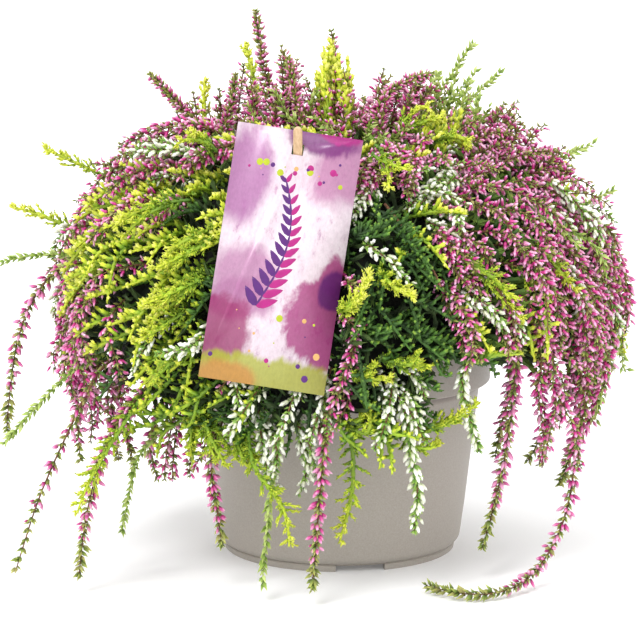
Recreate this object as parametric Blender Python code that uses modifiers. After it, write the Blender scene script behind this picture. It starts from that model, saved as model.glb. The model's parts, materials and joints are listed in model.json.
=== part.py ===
"""A mixed heather in a round plastic pot, with a card label on a flat wooden stake.

Three bushes share the pot. Each has a trunk in the soil and a crown of leafy shoots, and single
sprays stand out of the crowns, lie over them and hang down past the rim.

Lengths are in millimetres and angles in degrees, and MM turns lengths into Blender's metres.
The rules work about the pot's own axis. The finished pieces are then moved so that the origin
is under the middle of the whole plant, on the surface that the pot stands on. -Y is the front.
"""

import math

import bmesh
import bpy
import numpy as np
from mathutils import Matrix, Vector

MM = 0.001
GAP = 0.3
OBJECT_NAME = "potted_heather"

# Where the pot's axis stands from the middle of the whole plant
POT_AXIS_X = 10.0
POT_AXIS_Y = -3.0

# Pot
POT_HEIGHT = 95.5
BODY_FOOT_RADIUS = 52.0
BODY_TAPER = 0.118
WALL = 1.3
BAND_BOTTOM = 74.0
BAND_FOOT_RADIUS = 65.0
BAND_TOP_RADIUS = 66.0
FOOT_HEIGHT = 3.0
FOOT_WIDTH = 4.0
FOOT_INSET = 2.0
FLOOR_TOP = 4.8
FLOOR_CORNER = 2.0
WALL_FOOT = 7.0
NOTCH_COUNT = 3
NOTCH_AZIMUTH = -79.6
NOTCH_WIDTH = 21.0
NOTCH_HEIGHT = 2.8
DRAIN_COUNT = 6
DRAIN_RADIUS = 4.0
DRAIN_RING_RADIUS = 30.0
DRAIN_SIDES = 12
POT_STEPS = 48
SMOOTH_BELOW = 30.0

# Soil
SOIL_TOP = 86.0
SOIL_CROWN = 1.5
SOIL_CORNER = 1.0
SOIL_CLEARANCE = 1.2
SOIL_STEPS = 32

# Label and stake
LABEL_WIDTH = 50.0
LABEL_HEIGHT = 102.0
LABEL_THICKNESS = 0.6
LABEL_CENTRE = (-23.1, -101.4, 140.7)
LABEL_ROLL = 8.7
LABEL_LEAN = 12.7
SLIT_BELOW_TOP = 7.5
SLIT_WIDTH = 5.6
SLIT_HEIGHT = 4.3
STAKE_WIDTH = 4.4
STAKE_THICKNESS = 1.5
STAKE_ABOVE_SLIT = 10.0
STAKE_POINT_LENGTH = 8.0
STAKE_FOOT = (-17.0, -44.0, 62.0)

# Crown of leafy shoots: half the height above and the depth below its widest level
CROWN_RADIUS = 108.0
CROWN_LEVEL = 107.0
CROWN_RISE = 70.0
CROWN_ROUNDNESS = 2.2
SKIRT_DEPTH = 46.0
SKIRT_DEPTH_SWING = 7.0
SKIRT_LOW_AZIMUTH = -115.0
SKIRT_ROUNDNESS = 3.0
OPENING_AZIMUTH = -58.0
OPENING_WIDTH = 15.0
OPENING_RISE = 35.0
BROAD_WAVE = 2.2
NARROW_WAVE = 1.8
WAVES_FADE_INSIDE = 60.0
FIRST_ROW_ANGLE = 82.0
LAST_ROW_ANGLE = -50.0
ROW_SPACING = 8.4
COLUMN_ANGLE = 3.75
HALF_COLUMNS_INSIDE = 62.0
QUARTER_COLUMNS_INSIDE = 28.0
INNER_RADIUS = 72.0
UNDERSIDE = 99.0
UNDERSIDE_RADIUS = 40.0
INNER_LIP = 8.0
UNDERSIDE_STEP = 2.0
WEDGE_GAP = 0.8
COLUMN_DRIFT = 0.16
ROW_DRIFT = 0.7
SHOOT_HEIGHT = (9.0, 15.0)
SHOOT_LIFT = 0.45
SHOOTS_LEVEL = 18.0
SOCKET_DEPTH = 6.0
ROOT_SEAT = 1.0
TRUNK_RADIUS = 4.5
TRUNK_RING_RADIUS = 30.0
TRUNK_DEPTH = 25.0
TRUNK_SIDES = 8
TRUNK_OVERLAP = 6.0
CROWN_SEED = 11

# Bushes: node name, colour, first and last azimuth
BUSHES = (
    ("bush_gold", "gold", -170.0, -65.0),
    ("bush_rose", "rose", -65.0, 55.0),
    ("bush_white", "white", 55.0, 190.0),
)

# Kinds of spray: reach of a bud or leaf from the stem's axis, its lean towards the tip,
# the distance between two rings of buds and the stem's radius
SPRAY_KINDS = {
    "rose": {"reach": 5.0, "lean": 2.6, "spacing": 4.2, "stem": 1.3},
    "white": {"reach": 4.8, "lean": 2.8, "spacing": 4.2, "stem": 1.3},
    "gold": {"reach": 5.2, "lean": 3.2, "spacing": 3.9, "stem": 1.8},
    "green": {"reach": 3.6, "lean": 2.4, "spacing": 4.2, "stem": 1.2},
}
SPRAY_SIDES = 6
BARE_LENGTH = 8.5
FULL_LENGTH = 18.0
TIP_LENGTH = 16.0
TIP_REACH = 0.4
BUD_SHRINK = 0.86
ROOT_RADII = (0.25, 0.7)
TIP_RADIUS = 0.5
SPRAY_SEED = 23
GROUND_CLEARANCE = 0.35
LYING_HEIGHT = 3.0

# How the stems are led out of the crown and bent clear of what is near them
ROOT_DISTANCE = 11.0
ARCH_FROM = 18.0
ARCH_HEIGHT = 12.0
ARCH_SHARE = 0.2
POINT_DISTANCE = 6.0
SETTLE_STEPS = 60
SETTLE_SHARE = 0.6
EVENING_SHARE = 0.12
SPRAY_TO_SPRAY = 1.2
SPRAY_TO_STAKE = 4.0
SPRAY_TO_CROWN = 2.8
SPRAY_TO_LABEL = 1.0
SPRAY_TO_POT = 1.5
BESIDE_POT = 3.0

# How the crown is kept behind the label: the margin around it and the distance to the crown
LABEL_MARGIN = 8.0
LABEL_TO_CROWN = 4.0
SHOOT_LABEL_MARGIN = 6.0
SHOOT_TO_LABEL = 1.2
STAKE_REACH = 3.5

# Half width of a shoot at shares of its height, and the shares of its height that are tried
SHOOT_WIDTHS = ((0.2, 4.6), (0.6, 3.4), (1.0, 2.0))
SHOOT_SHARES = (0.25, 0.5, 0.75, 1.0)

# Sprays that show one by one at the top, sides and front: name, kind, and points that the
# stem passes after it leaves the crown, about the pot's axis
CHOSEN_SPRAYS = (
    ("spray_tall_spike", "rose", ((-31, 7, 197), (-34, 8, 217), (-36, 8, 232))),
    ("spray_top_left", "rose", ((-60, -5, 182), (-71, -5, 196), (-81, -5, 206))),
    ("spray_gold_top_left", "gold", ((-58, 17, 184), (-60, 16, 194), (-58, 15, 202))),
    ("spray_crown_left", "rose", ((-44, -10, 190), (-44, -8, 206))),
    ("spray_crown_front", "rose", ((-18, -20, 192), (-22, -14, 214))),
    ("spray_gold_column", "gold", ((0, -6, 194), (-2, -8, 206), (-4, -9, 220))),
    ("spray_arch", "rose", ((12, -26, 192), (24, -23, 204), (40, -20, 207))),
    ("spray_green_high", "green", ((38, 12, 188), (47, 11, 203), (57, 10, 217))),
    ("spray_green_low", "green", ((48, -14, 186), (57, -17, 199), (67, -19, 207))),
    ("spray_shoulder_right", "rose", ((62, 12, 180), (71, 10, 192))),
    ("spray_green_shoulder", "green", ((86, 2, 165), (98, 0, 171), (108, 0, 175))),
    ("spray_green_side", "green", ((104, 10, 149), (117, 8, 154))),
    ("spray_side_right", "rose", ((115, -12, 124), (119, -14, 104), (108, -12, 66))),
    ("spray_side_back", "rose", ((112, 22, 116), (118, 26, 96), (110, 28, 62))),
    ("spray_right_low_front", "rose", ((104, -34, 82), (101, -34, 60), (93, -32, 32))),
    ("spray_right_low_side", "rose", ((102, 8, 76), (94, 10, 56), (82, 10, 34))),
    ("spray_right_low_mid", "rose", ((112, -18, 74), (108, -14, 60), (98, -8, 40))),
    (
        "spray_curling",
        "rose",
        (
            (98, -52, 112),
            (104, -56, 88),
            (98, -58, 58),
            (96, -60, 34),
            (88, -68, 14),
            (75, -84, 4),
            (62, -100, 3),
            (48, -98, 3),
            (35, -82, 3),
        ),
    ),
    ("spray_front_right", "rose", ((68, -82, 104), (70, -74, 77), (67, -66, 46), (59, -64, 13))),
    ("spray_white_right", "white", ((46, -98, 96), (52, -88, 76), (57, -80, 58))),
    ("spray_white_front", "white", ((23, -104, 88), (28, -97, 62), (33, -94, 46), (30, -92, 27))),
    ("spray_gold_right", "gold", ((9, -104, 74), (6, -98, 47), (0, -95, 24))),
    ("spray_front", "rose", ((-5, -106, 80), (-7, -107, 56), (-9, -107, 30), (-11, -105, 6))),
    ("spray_green_front", "green", ((-26, -102, 66), (-28, -97, 43), (-31, -97, 8))),
    ("spray_gold_front", "gold", ((-38, -100, 62), (-20, -108, 42), (-20, -108, 26))),
    ("spray_front_left", "rose", ((-54, -86, 60), (-50, -80, 38), (-48, -78, 18))),
    ("spray_left_long", "rose", ((-118, -32, 126), (-132, -32, 108), (-137, -31, 90), (-141, -30, 56))),
    ("spray_gold_left_high", "gold", ((-98, 0, 160), (-113, 0, 167), (-126, 0, 173))),
    ("spray_gold_left_mid", "gold", ((-116, 10, 138), (-129, 9, 144), (-142, 8, 147))),
    ("spray_green_left", "green", ((-120, -9, 130), (-132, -11, 129), (-143, -12, 126))),
    ("spray_green_left_low", "green", ((-114, -46, 84), (-127, -48, 69), (-140, -50, 55))),
    ("spray_left_front_long", "rose", ((-96, -66, 94), (-112, -68, 62), (-123, -73, 38), (-133, -80, 6))),
    ("spray_left_front", "rose", ((-88, -80, 76), (-102, -84, 38), (-106, -86, 7))),
    ("spray_green_left_front", "green", ((-84, -70, 58), (-86, -66, 38), (-90, -64, 21))),
    ("spray_left_cluster", "rose", ((-82, -46, 56), (-76, -44, 38))),
    ("spray_left_low", "rose", ((-112, -24, 68), (-110, -28, 42))),
    ("spray_left_low_back", "rose", ((-102, 10, 66), (-96, 10, 34))),
)

# Sprays at the back in rings: name, kinds in turn, first and last azimuth, and the points that
# each stem passes, as distance from the axis and height
BACK_RINGS = (
    (
        "spray_back_crown",
        ("white", "rose", "gold"),
        (52.0, 138.0),
        ((48, 184), (54, 198), (60, 208)),
    ),
    (
        "spray_back_shoulder",
        ("rose", "gold", "rose", "white"),
        (30.0, 162.0),
        ((88, 162), (101, 170), (112, 171)),
    ),
    (
        "spray_back_side",
        ("white", "rose", "green", "rose"),
        (48.0, 150.0),
        ((115, 126), (122, 112), (119, 84)),
    ),
    (
        "spray_back_low",
        ("rose", "white", "rose", "gold", "rose"),
        (38.0, 158.0),
        ((106, 82), (104, 58), (96, 26)),
    ),
)

# Colours: red, green, blue, roughness
COLOURS = {
    "pot": (0.405, 0.365, 0.330, 0.55),
    "soil": (0.045, 0.028, 0.018, 0.95),
    "label": (0.620, 0.400, 0.640, 0.45),
    "label_stake": (0.580, 0.430, 0.250, 0.70),
    "rose": (0.560, 0.075, 0.260, 0.60),
    "white": (0.720, 0.760, 0.560, 0.60),
    "gold": (0.500, 0.580, 0.045, 0.60),
    "green": (0.120, 0.200, 0.040, 0.60),
}


def unit(vectors):
    """The same vectors at length 1."""
    return vectors / np.linalg.norm(vectors, axis=-1, keepdims=True)


def smooth_step(values):
    """0 below 0, 1 above 1 and a smooth rise between."""
    t = np.clip(values, 0.0, 1.0)
    return t * t * (3.0 - 2.0 * t)


def about_axis(radius, azimuth, height):
    """Points from cylinder coordinates about the pot's axis, azimuth in degrees."""
    angle = np.radians(azimuth)
    return np.stack([radius * np.cos(angle), radius * np.sin(angle), height + 0.0 * angle], axis=-1)


# Label's frame


def label_matrix():
    """From the label's own axes, X across, Y through and Z up, to its place."""
    lean = Matrix.Rotation(math.radians(-LABEL_LEAN), 4, "X")
    roll = Matrix.Rotation(math.radians(LABEL_ROLL), 4, "Y")
    return Matrix.Translation(LABEL_CENTRE) @ lean @ roll


def label_coordinates(points):
    """Points as seen from the label: across, through (positive is behind it) and up."""
    matrix = np.array(label_matrix())
    return (points - matrix[:3, 3]) @ matrix[:3, :3]


def slit_centre():
    """Middle of the label's slit."""
    return np.array(label_matrix() @ Vector((0.0, 0.0, LABEL_HEIGHT / 2 - SLIT_BELOW_TOP)))


def stake_points(spacing):
    """Points along the stake's middle line from its foot to its top."""
    foot = np.array(STAKE_FOOT)
    slit = slit_centre()
    length = np.linalg.norm(slit - foot) + STAKE_ABOVE_SLIT
    along = np.arange(0.0, length, spacing)
    return foot + along[:, None] * unit(slit - foot)


# Crown of leafy shoots


def skirt_depth(azimuth):
    """Depth of the crown below its widest level.

    It is deepest at the front left, and the skirt opens at the front right to show the pot.
    """
    swing = np.cos(np.radians(azimuth - SKIRT_LOW_AZIMUTH))
    opening = np.exp(-(((azimuth - OPENING_AZIMUTH) / OPENING_WIDTH) ** 4))
    return SKIRT_DEPTH + SKIRT_DEPTH_SWING * swing - OPENING_RISE * opening


def crown_surface(azimuth, angle):
    """Points of the crown before its shoots are raised.

    In each upright section the outline is a superellipse: angle 90 is the top, 0 the widest
    level, and below it the skirt. Slow waves around and down it stand for tufts.
    """
    a = np.radians(azimuth)
    t = np.radians(angle)
    upper = t > 0.0
    power = 2.0 / np.where(upper, CROWN_ROUNDNESS, SKIRT_ROUNDNESS)
    reach = np.where(upper, CROWN_RISE, skirt_depth(azimuth))
    radius = CROWN_RADIUS * np.abs(np.cos(t)) ** power
    height = CROWN_LEVEL + np.sign(t) * reach * np.abs(np.sin(t)) ** power
    wave = BROAD_WAVE * np.sin(7 * a + 1.0 + 2 * t) + NARROW_WAVE * np.sin(11 * a - 5 * t)
    wave = wave * np.clip(radius / WAVES_FADE_INSIDE, 0.0, 1.0)
    return about_axis(radius + wave * np.cos(t), azimuth, height + wave * np.maximum(np.sin(t), 0.0))


def crown_normal(azimuth, angle):
    """Outward direction of the crown's surface, from its slopes down and around."""
    step = 0.5
    down = crown_surface(azimuth, angle - step) - crown_surface(azimuth, angle + step)
    around = crown_surface(azimuth + step, angle) - crown_surface(azimuth - step, angle)
    return unit(np.cross(down, around))


def row_angles():
    """Angles of the crown's rows, at even distances down its outside."""
    fine = np.linspace(FIRST_ROW_ANGLE, LAST_ROW_ANGLE, 800)
    points = crown_surface(np.full(fine.shape, 0.0), fine)
    walked = np.concatenate([[0.0], np.cumsum(np.linalg.norm(np.diff(points, axis=0), axis=1))])
    count = int(round(walked[-1] / ROW_SPACING)) + 1
    return np.interp(np.linspace(0.0, walked[-1], count), walked, fine)


def over_label(across, up, margin):
    """Whether places lie over the label or within a margin around it."""
    return (np.abs(across) < LABEL_WIDTH / 2 + margin) & (np.abs(up) < LABEL_HEIGHT / 2 + margin)


def press_behind_label(points):
    """Moves points that would come through the label, or close to it, behind it."""
    across, through, up = label_coordinates(points).T
    inside = over_label(across, up, LABEL_MARGIN)
    push = np.where(inside, np.maximum(LABEL_TO_CROWN - through, 0.0), 0.0)
    return points + push[:, None] * np.array(label_matrix())[:3, 1]


class Crown:
    """One bush's outside: rows of surface points, each with a direction and a shoot's height."""

    def __init__(self, index):
        first, last = BUSHES[index][2:]
        rng = np.random.default_rng(CROWN_SEED + index)
        columns = int(round((last - first) / COLUMN_ANGLE))
        self.first = first
        self.last = last
        self.points = []
        self.normals = []
        self.heights = []
        for row, angle in enumerate(row_angles()):
            radius = CROWN_RADIUS * math.cos(math.radians(angle)) ** (2.0 / CROWN_ROUNDNESS)
            share = 4 if radius < QUARTER_COLUMNS_INSIDE else 2 if radius < HALF_COLUMNS_INSIDE else 1
            count = columns // share + 1
            azimuth = np.linspace(first, last, count)
            inner = np.arange(count) % (count - 1) != 0
            drift = rng.uniform(-COLUMN_DRIFT, COLUMN_DRIFT, count) * (azimuth[1] - azimuth[0])
            azimuth = azimuth + drift * inner
            tilt = rng.uniform(-ROW_DRIFT, ROW_DRIFT, count) * inner
            points = crown_surface(azimuth, np.full(count, angle) + tilt)
            raised = ((np.arange(count) + row) % 2 == 0) & inner
            height = rng.uniform(*SHOOT_HEIGHT, count) * raised
            if angle < 0.0:
                height = height * np.minimum(skirt_depth(azimuth) / SKIRT_DEPTH, 1.0)
            self.points.append(press_behind_label(points))
            self.normals.append(crown_normal(azimuth, np.full(count, angle)))
            self.heights.append(height)
        self.heights[-1][:] = 0.0
        for row in range(1, len(self.points)):
            if len(self.points[row]) != len(self.points[row - 1]):
                self.heights[row - 1][:] = 0.0

    def lean(self, row):
        """Directions of a row's shoots: outwards, turned a little up above the widest level."""
        normals = self.normals[row]
        above = np.sign(self.points[row][:, 2:] - CROWN_LEVEL + SHOOTS_LEVEL)
        up = np.array([0.0, 0.0, SHOOT_LIFT]) * above
        return unit(normals + up * (1.0 - np.abs(normals[:, 2:])))

    def hollows(self):
        """The low points between shoots that a stem can stand in, as (row, column)."""
        return [
            (row, column)
            for row in range(len(self.points) - 1)
            for column in range(1, len(self.points[row]) - 1)
            if self.heights[row][column] == 0.0
        ]


# Sprays


def spray_plan():
    """Every spray as (name, kind, passed points), the chosen ones first."""
    plan = [(name, kind, np.array(points, float)) for name, kind, points in CHOSEN_SPRAYS]
    rng = np.random.default_rng(SPRAY_SEED)
    for name, kinds, (first, last), section in BACK_RINGS:
        for k, azimuth in enumerate(np.linspace(first, last, len(kinds))):
            turn = azimuth + rng.uniform(-4.0, 4.0) + np.array([0.0, 2.0, 5.0]) * rng.uniform(-1.0, 1.0)
            radius, height = np.array(section, float).T
            stretch = rng.uniform(-0.08, 0.08) * np.arange(3)
            points = about_axis(radius * (1.0 + 0.3 * stretch), turn, height * (1.0 + stretch * 0.5))
            plan.append((f"{name}_{k + 1}", kinds[k], points))
    return plan


def smooth_route(points, spacing, start):
    """A curve through the points that leaves in the start direction, read at even distances.

    Between two points it is a cubic with the slopes of a parabola through each point and its
    neighbours, timed by the square root of the distance, which keeps it from overshooting.
    """
    chords = np.diff(points, axis=0)
    lengths = np.linalg.norm(chords, axis=1, keepdims=True)
    times = np.sqrt(lengths)
    speeds = chords / times
    slopes = (speeds[:-1] * times[1:] + speeds[1:] * times[:-1]) / (times[1:] + times[:-1])
    slopes = np.vstack([start * lengths[0] / times[0], slopes, speeds[-1:]])
    t = np.linspace(0.0, 1.0, 24, endpoint=False)[:, None]
    pieces = []
    for a, b, time, first, last in zip(points, points[1:], times, slopes, slopes[1:]):
        near = (1 + 2 * t) * (1 - t) ** 2 * a + t**2 * (3 - 2 * t) * b
        pieces.append(near + time * (t * (1 - t) ** 2 * first - t**2 * (1 - t) * last))
    return even_route(np.vstack([*pieces, points[-1:]]), spacing)


def even_route(fine, spacing):
    """The same line with its points at even distances."""
    walked = np.concatenate([[0.0], np.cumsum(np.linalg.norm(np.diff(fine, axis=0), axis=1))])
    count = max(int(round(walked[-1] / spacing)), 4) + 1
    even = np.linspace(0.0, walked[-1], count)
    return np.stack([np.interp(even, walked, fine[:, axis]) for axis in range(3)], axis=1)


def reach_along(kind, count):
    """Reach of the buds at each ring of a spray: bare at the root, full, then tapering."""
    size = SPRAY_KINDS[kind]
    walked = np.arange(count) * size["spacing"]
    left = walked[-1] - walked
    start = smooth_step((walked - BARE_LENGTH) / (FULL_LENGTH - BARE_LENGTH))
    end = TIP_REACH + (1.0 - TIP_REACH) * smooth_step(left / TIP_LENGTH)
    return size["stem"] + (size["reach"] - size["stem"]) * start * end


def choose_roots(crowns, plan):
    """For each spray the nearest free hollow in a crown, as (crown, row, column)."""
    places = [(c, row, column) for c, crown in enumerate(crowns) for row, column in crown.hollows()]
    where = np.array([crowns[c].points[row][column] for c, row, column in places])
    free = np.ones(len(places), bool)
    roots = []
    for name, kind, points in plan:
        away = np.linalg.norm(where - points[0], axis=1)
        best = int(np.argmin(np.where(free, away, np.inf)))
        free &= np.linalg.norm(where - where[best], axis=1) > ROOT_DISTANCE
        roots.append(places[best])
    return roots


def settle(routes, kinds, crowns):
    """Bends the routes clear of each other, the crowns, the label, the stake, the pot and the ground.

    Points that are too close push each other apart a little in each step. A route's first
    points keep their place, and each step also evens its bends.
    """
    surface = np.vstack([p for crown in crowns for p in crown.points])
    outward = np.vstack([n for crown in crowns for n in crown.normals])
    owner = np.concatenate([np.full(len(route), i) for i, route in enumerate(routes)])
    reach = np.concatenate([reach_along(kind, len(route)) for route, kind in zip(routes, kinds)])
    loose = np.concatenate([smooth_step((np.arange(len(route)) - 1.6) / 3.0) for route in routes])
    points = np.vstack(routes)
    stake = stake_points(4.0)
    starts = np.concatenate([[0], np.cumsum([len(route) for route in routes])])
    inner = np.ones(len(points), bool)
    inner[starts[:-1]] = False
    inner[starts[1:] - 1] = False
    same = owner[:, None] == owner[None, :]
    for _ in range(SETTLE_STEPS):
        move = np.zeros_like(points)
        apart = points[:, None, :] - points[None, :, :]
        away = np.linalg.norm(apart, axis=2) + 1e-9
        near = reach[:, None] + reach[None, :] + SPRAY_TO_SPRAY
        lack = np.where(same, 0.0, np.maximum(near - away, 0.0))
        move += 0.5 * np.sum(apart / away[:, :, None] * lack[:, :, None], axis=1)
        from_stake = points[:, None, :] - stake[None, :, :]
        away = np.linalg.norm(from_stake, axis=2)
        lack = np.maximum(reach[:, None] + SPRAY_TO_STAKE - away, 0.0)
        move += 0.5 * np.sum(from_stake / away[:, :, None] * lack[:, :, None], axis=1)
        nearest = np.argmin(np.linalg.norm(points[:, None, :] - surface[None, :, :], axis=2), axis=1)
        height = np.sum((points - surface[nearest]) * outward[nearest], axis=1)
        lack = np.maximum(reach + SPRAY_TO_CROWN - height, 0.0)
        move += lack[:, None] * outward[nearest]
        points = points + move * loose[:, None] * SETTLE_SHARE
        across, through, up = label_coordinates(points).T
        close = over_label(across, up, reach)
        lack = np.where(close, np.maximum(reach + SPRAY_TO_LABEL - through, 0.0), 0.0)
        points = points + (lack * loose)[:, None] * np.array(label_matrix())[:3, 1]
        radius = np.linalg.norm(points[:, :2], axis=1)
        beside = points[:, 2] < POT_HEIGHT + BESIDE_POT
        near = BAND_TOP_RADIUS + SPRAY_TO_POT + reach
        lack = np.where(beside, np.maximum(near - radius, 0.0), 0.0)
        points[:, :2] += (lack * loose / radius)[:, None] * points[:, :2]
        points[:, 2] = np.maximum(points[:, 2], LYING_HEIGHT)
        middle = 0.5 * (np.roll(points, 1, axis=0) + np.roll(points, -1, axis=0))
        points += (EVENING_SHARE * loose * inner)[:, None] * (middle - points)
    return [points[a:b] for a, b in zip(starts, starts[1:])]


def spray_routes(crowns):
    """Names, kinds, roots and settled routes of all the sprays."""
    plan = spray_plan()
    roots = choose_roots(crowns, plan)
    routes = []
    for (name, kind, points), (c, row, column) in zip(plan, roots):
        base = crowns[c].points[row][column]
        normal = crowns[c].normals[row][column]
        spacing = SPRAY_KINDS[kind]["spacing"]
        straight = base + (np.arange(3)[:, None] * spacing - SOCKET_DEPTH + ROOT_SEAT) * normal
        way = [straight[-1]]
        if np.linalg.norm(points[0] - base) > ARCH_FROM:
            way.append(base + ARCH_HEIGHT * normal + ARCH_SHARE * (points[0] - base))
        way += [p for p in points if np.linalg.norm(p - way[-1]) > POINT_DISTANCE]
        routes.append(np.vstack([straight[:-1], smooth_route(np.array(way), spacing, normal)]))
    kinds = [kind for name, kind, points in plan]
    routes = settle(routes, kinds, crowns)
    return [name for name, kind, points in plan], kinds, roots, routes


def clear_shoots(crowns, routes, kinds):
    """Shortens each shoot that would touch a spray, the label or the stake."""
    path = np.vstack([*routes, stake_points(3.0)])
    reach = np.concatenate([reach_along(kind, len(route)) for route, kind in zip(routes, kinds)])
    reach = np.concatenate([reach, np.full(len(path) - len(reach), STAKE_REACH)])
    for crown in crowns:
        for row, points in enumerate(crown.points):
            directions = crown.lean(row)
            full = crown.heights[row]
            chosen = np.zeros_like(full)
            for part in SHOOT_SHARES:
                height = full * part
                clear = np.ones(len(points), bool)
                for along, width in SHOOT_WIDTHS:
                    spot = points + (height * along)[:, None] * directions
                    away = np.linalg.norm(spot[:, None, :] - path[None, :, :], axis=2)
                    clear &= np.all(away > reach[None, :] + width, axis=1)
                    across, through, up = label_coordinates(spot).T
                    over = over_label(across, up, SHOOT_LABEL_MARGIN)
                    clear &= ~(over & (through < SHOOT_TO_LABEL))
                chosen = np.where(clear, height, chosen)
            crown.heights[row] = chosen


# Meshes


def parts_collection():
    """The collection that holds the finished pieces."""
    found = bpy.data.collections.get(OBJECT_NAME)
    if found is None:
        found = bpy.data.collections.new(OBJECT_NAME)
        bpy.context.scene.collection.children.link(found)
    return found


def cutters_collection():
    """The collection for pieces that only cut or join others."""
    found = bpy.data.collections.get("cutters")
    if found is None:
        found = bpy.data.collections.new("cutters")
        bpy.context.scene.collection.children.link(found)
    return found


def material(name):
    """A Principled material in one of the colours above."""
    found = bpy.data.materials.get(name)
    if found is None:
        found = bpy.data.materials.new(name)
        found.use_nodes = True
        red, green, blue, roughness = COLOURS[name]
        shader = found.node_tree.nodes["Principled BSDF"]
        shader.inputs["Base Color"].default_value = (red, green, blue, 1.0)
        shader.inputs["Roughness"].default_value = roughness
        found.diffuse_color = (red, green, blue, 1.0)
    return found


def add_object(name, data, colour):
    """Links a new object with its colour to the parts collection."""
    obj = bpy.data.objects.new(name, data)
    parts_collection().objects.link(obj)
    data.materials.clear()
    data.materials.append(material(colour))
    return obj


def mesh_from(name, points, faces):
    """A mesh from points in millimetres, its faces pointing out."""
    mesh = bpy.data.meshes.new(name)
    mesh.from_pydata((np.asarray(points) * MM).tolist(), [], faces)
    edit = bmesh.new()
    edit.from_mesh(mesh)
    bmesh.ops.triangulate(edit, faces=[face for face in edit.faces if len(face.verts) > 3])
    bmesh.ops.recalc_face_normals(edit, faces=edit.faces[:])
    edit.to_mesh(mesh)
    edit.free()
    return mesh


def turned(name, profile, steps, colour):
    """A turned piece: a profile with a Screw modifier."""
    mesh = bpy.data.meshes.new(name)
    points = [(radius * MM, 0.0, height * MM) for radius, height in profile]
    edges = [(k, k + 1) for k in range(len(points) - 1)]
    mesh.from_pydata(points, edges, [])
    obj = add_object(name, mesh, colour)
    screw = obj.modifiers.new("turn", "SCREW")
    screw.steps = steps
    screw.render_steps = steps
    screw.use_merge_vertices = True
    screw.merge_threshold = 0.00001
    return obj


def shade_round(obj):
    """Shades an object smooth but for its sharp edges."""
    obj.data.shade_smooth()
    obj.data.set_sharp_from_angle(angle=math.radians(SMOOTH_BELOW))


def move_to(obj, matrix):
    """Places an object by a matrix whose lengths are in millimetres."""
    placed = matrix.copy()
    placed.translation = placed.translation * MM
    obj.matrix_world = placed


def add_cutter(obj):
    """Hides a helper from the finished object."""
    for collection in list(obj.users_collection):
        collection.objects.unlink(obj)
    cutters_collection().objects.link(obj)
    obj.hide_render = True
    obj.display_type = "WIRE"
    return obj


def box(name, size, matrix):
    """A box of the given size in millimetres, placed by a matrix."""
    bpy.ops.mesh.primitive_cube_add(size=1.0)
    obj = bpy.context.object
    obj.name = name
    for vertex in obj.data.vertices:
        vertex.co = [c * s * MM for c, s in zip(vertex.co, size)]
    move_to(obj, matrix)
    return obj


def cylinder(name, radius, bottom, top, place, sides):
    """An upright cylinder between two heights, its axis at place."""
    bpy.ops.mesh.primitive_cylinder_add(
        vertices=sides,
        radius=radius * MM,
        depth=(top - bottom) * MM,
        location=(place[0] * MM, place[1] * MM, (top + bottom) / 2 * MM),
    )
    obj = bpy.context.object
    obj.name = name
    return obj


def apply_modifiers(obj):
    """Turns an object's modified shape into its own mesh."""
    graph = bpy.context.evaluated_depsgraph_get()
    made = bpy.data.meshes.new_from_object(obj.evaluated_get(graph))
    old = obj.data
    obj.modifiers.clear()
    obj.data = made
    bpy.data.meshes.remove(old)


def combine(obj, others, operation):
    """Joins or cuts an object by a collection of others, which are then removed."""
    group = bpy.data.collections.new(obj.name + "_tools")
    bpy.context.scene.collection.children.link(group)
    for other in others:
        add_cutter(other)
        group.objects.link(other)
    modifier = obj.modifiers.new("combine", "BOOLEAN")
    modifier.operation = operation
    modifier.solver = "EXACT"
    modifier.operand_type = "COLLECTION"
    modifier.collection = group
    apply_modifiers(obj)
    for other in others:
        bpy.data.objects.remove(other)
    bpy.data.collections.remove(group)


# Pieces


def body_radius(height):
    """Outer radius of the pot's tapered wall."""
    return BODY_FOOT_RADIUS + BODY_TAPER * height


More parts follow.
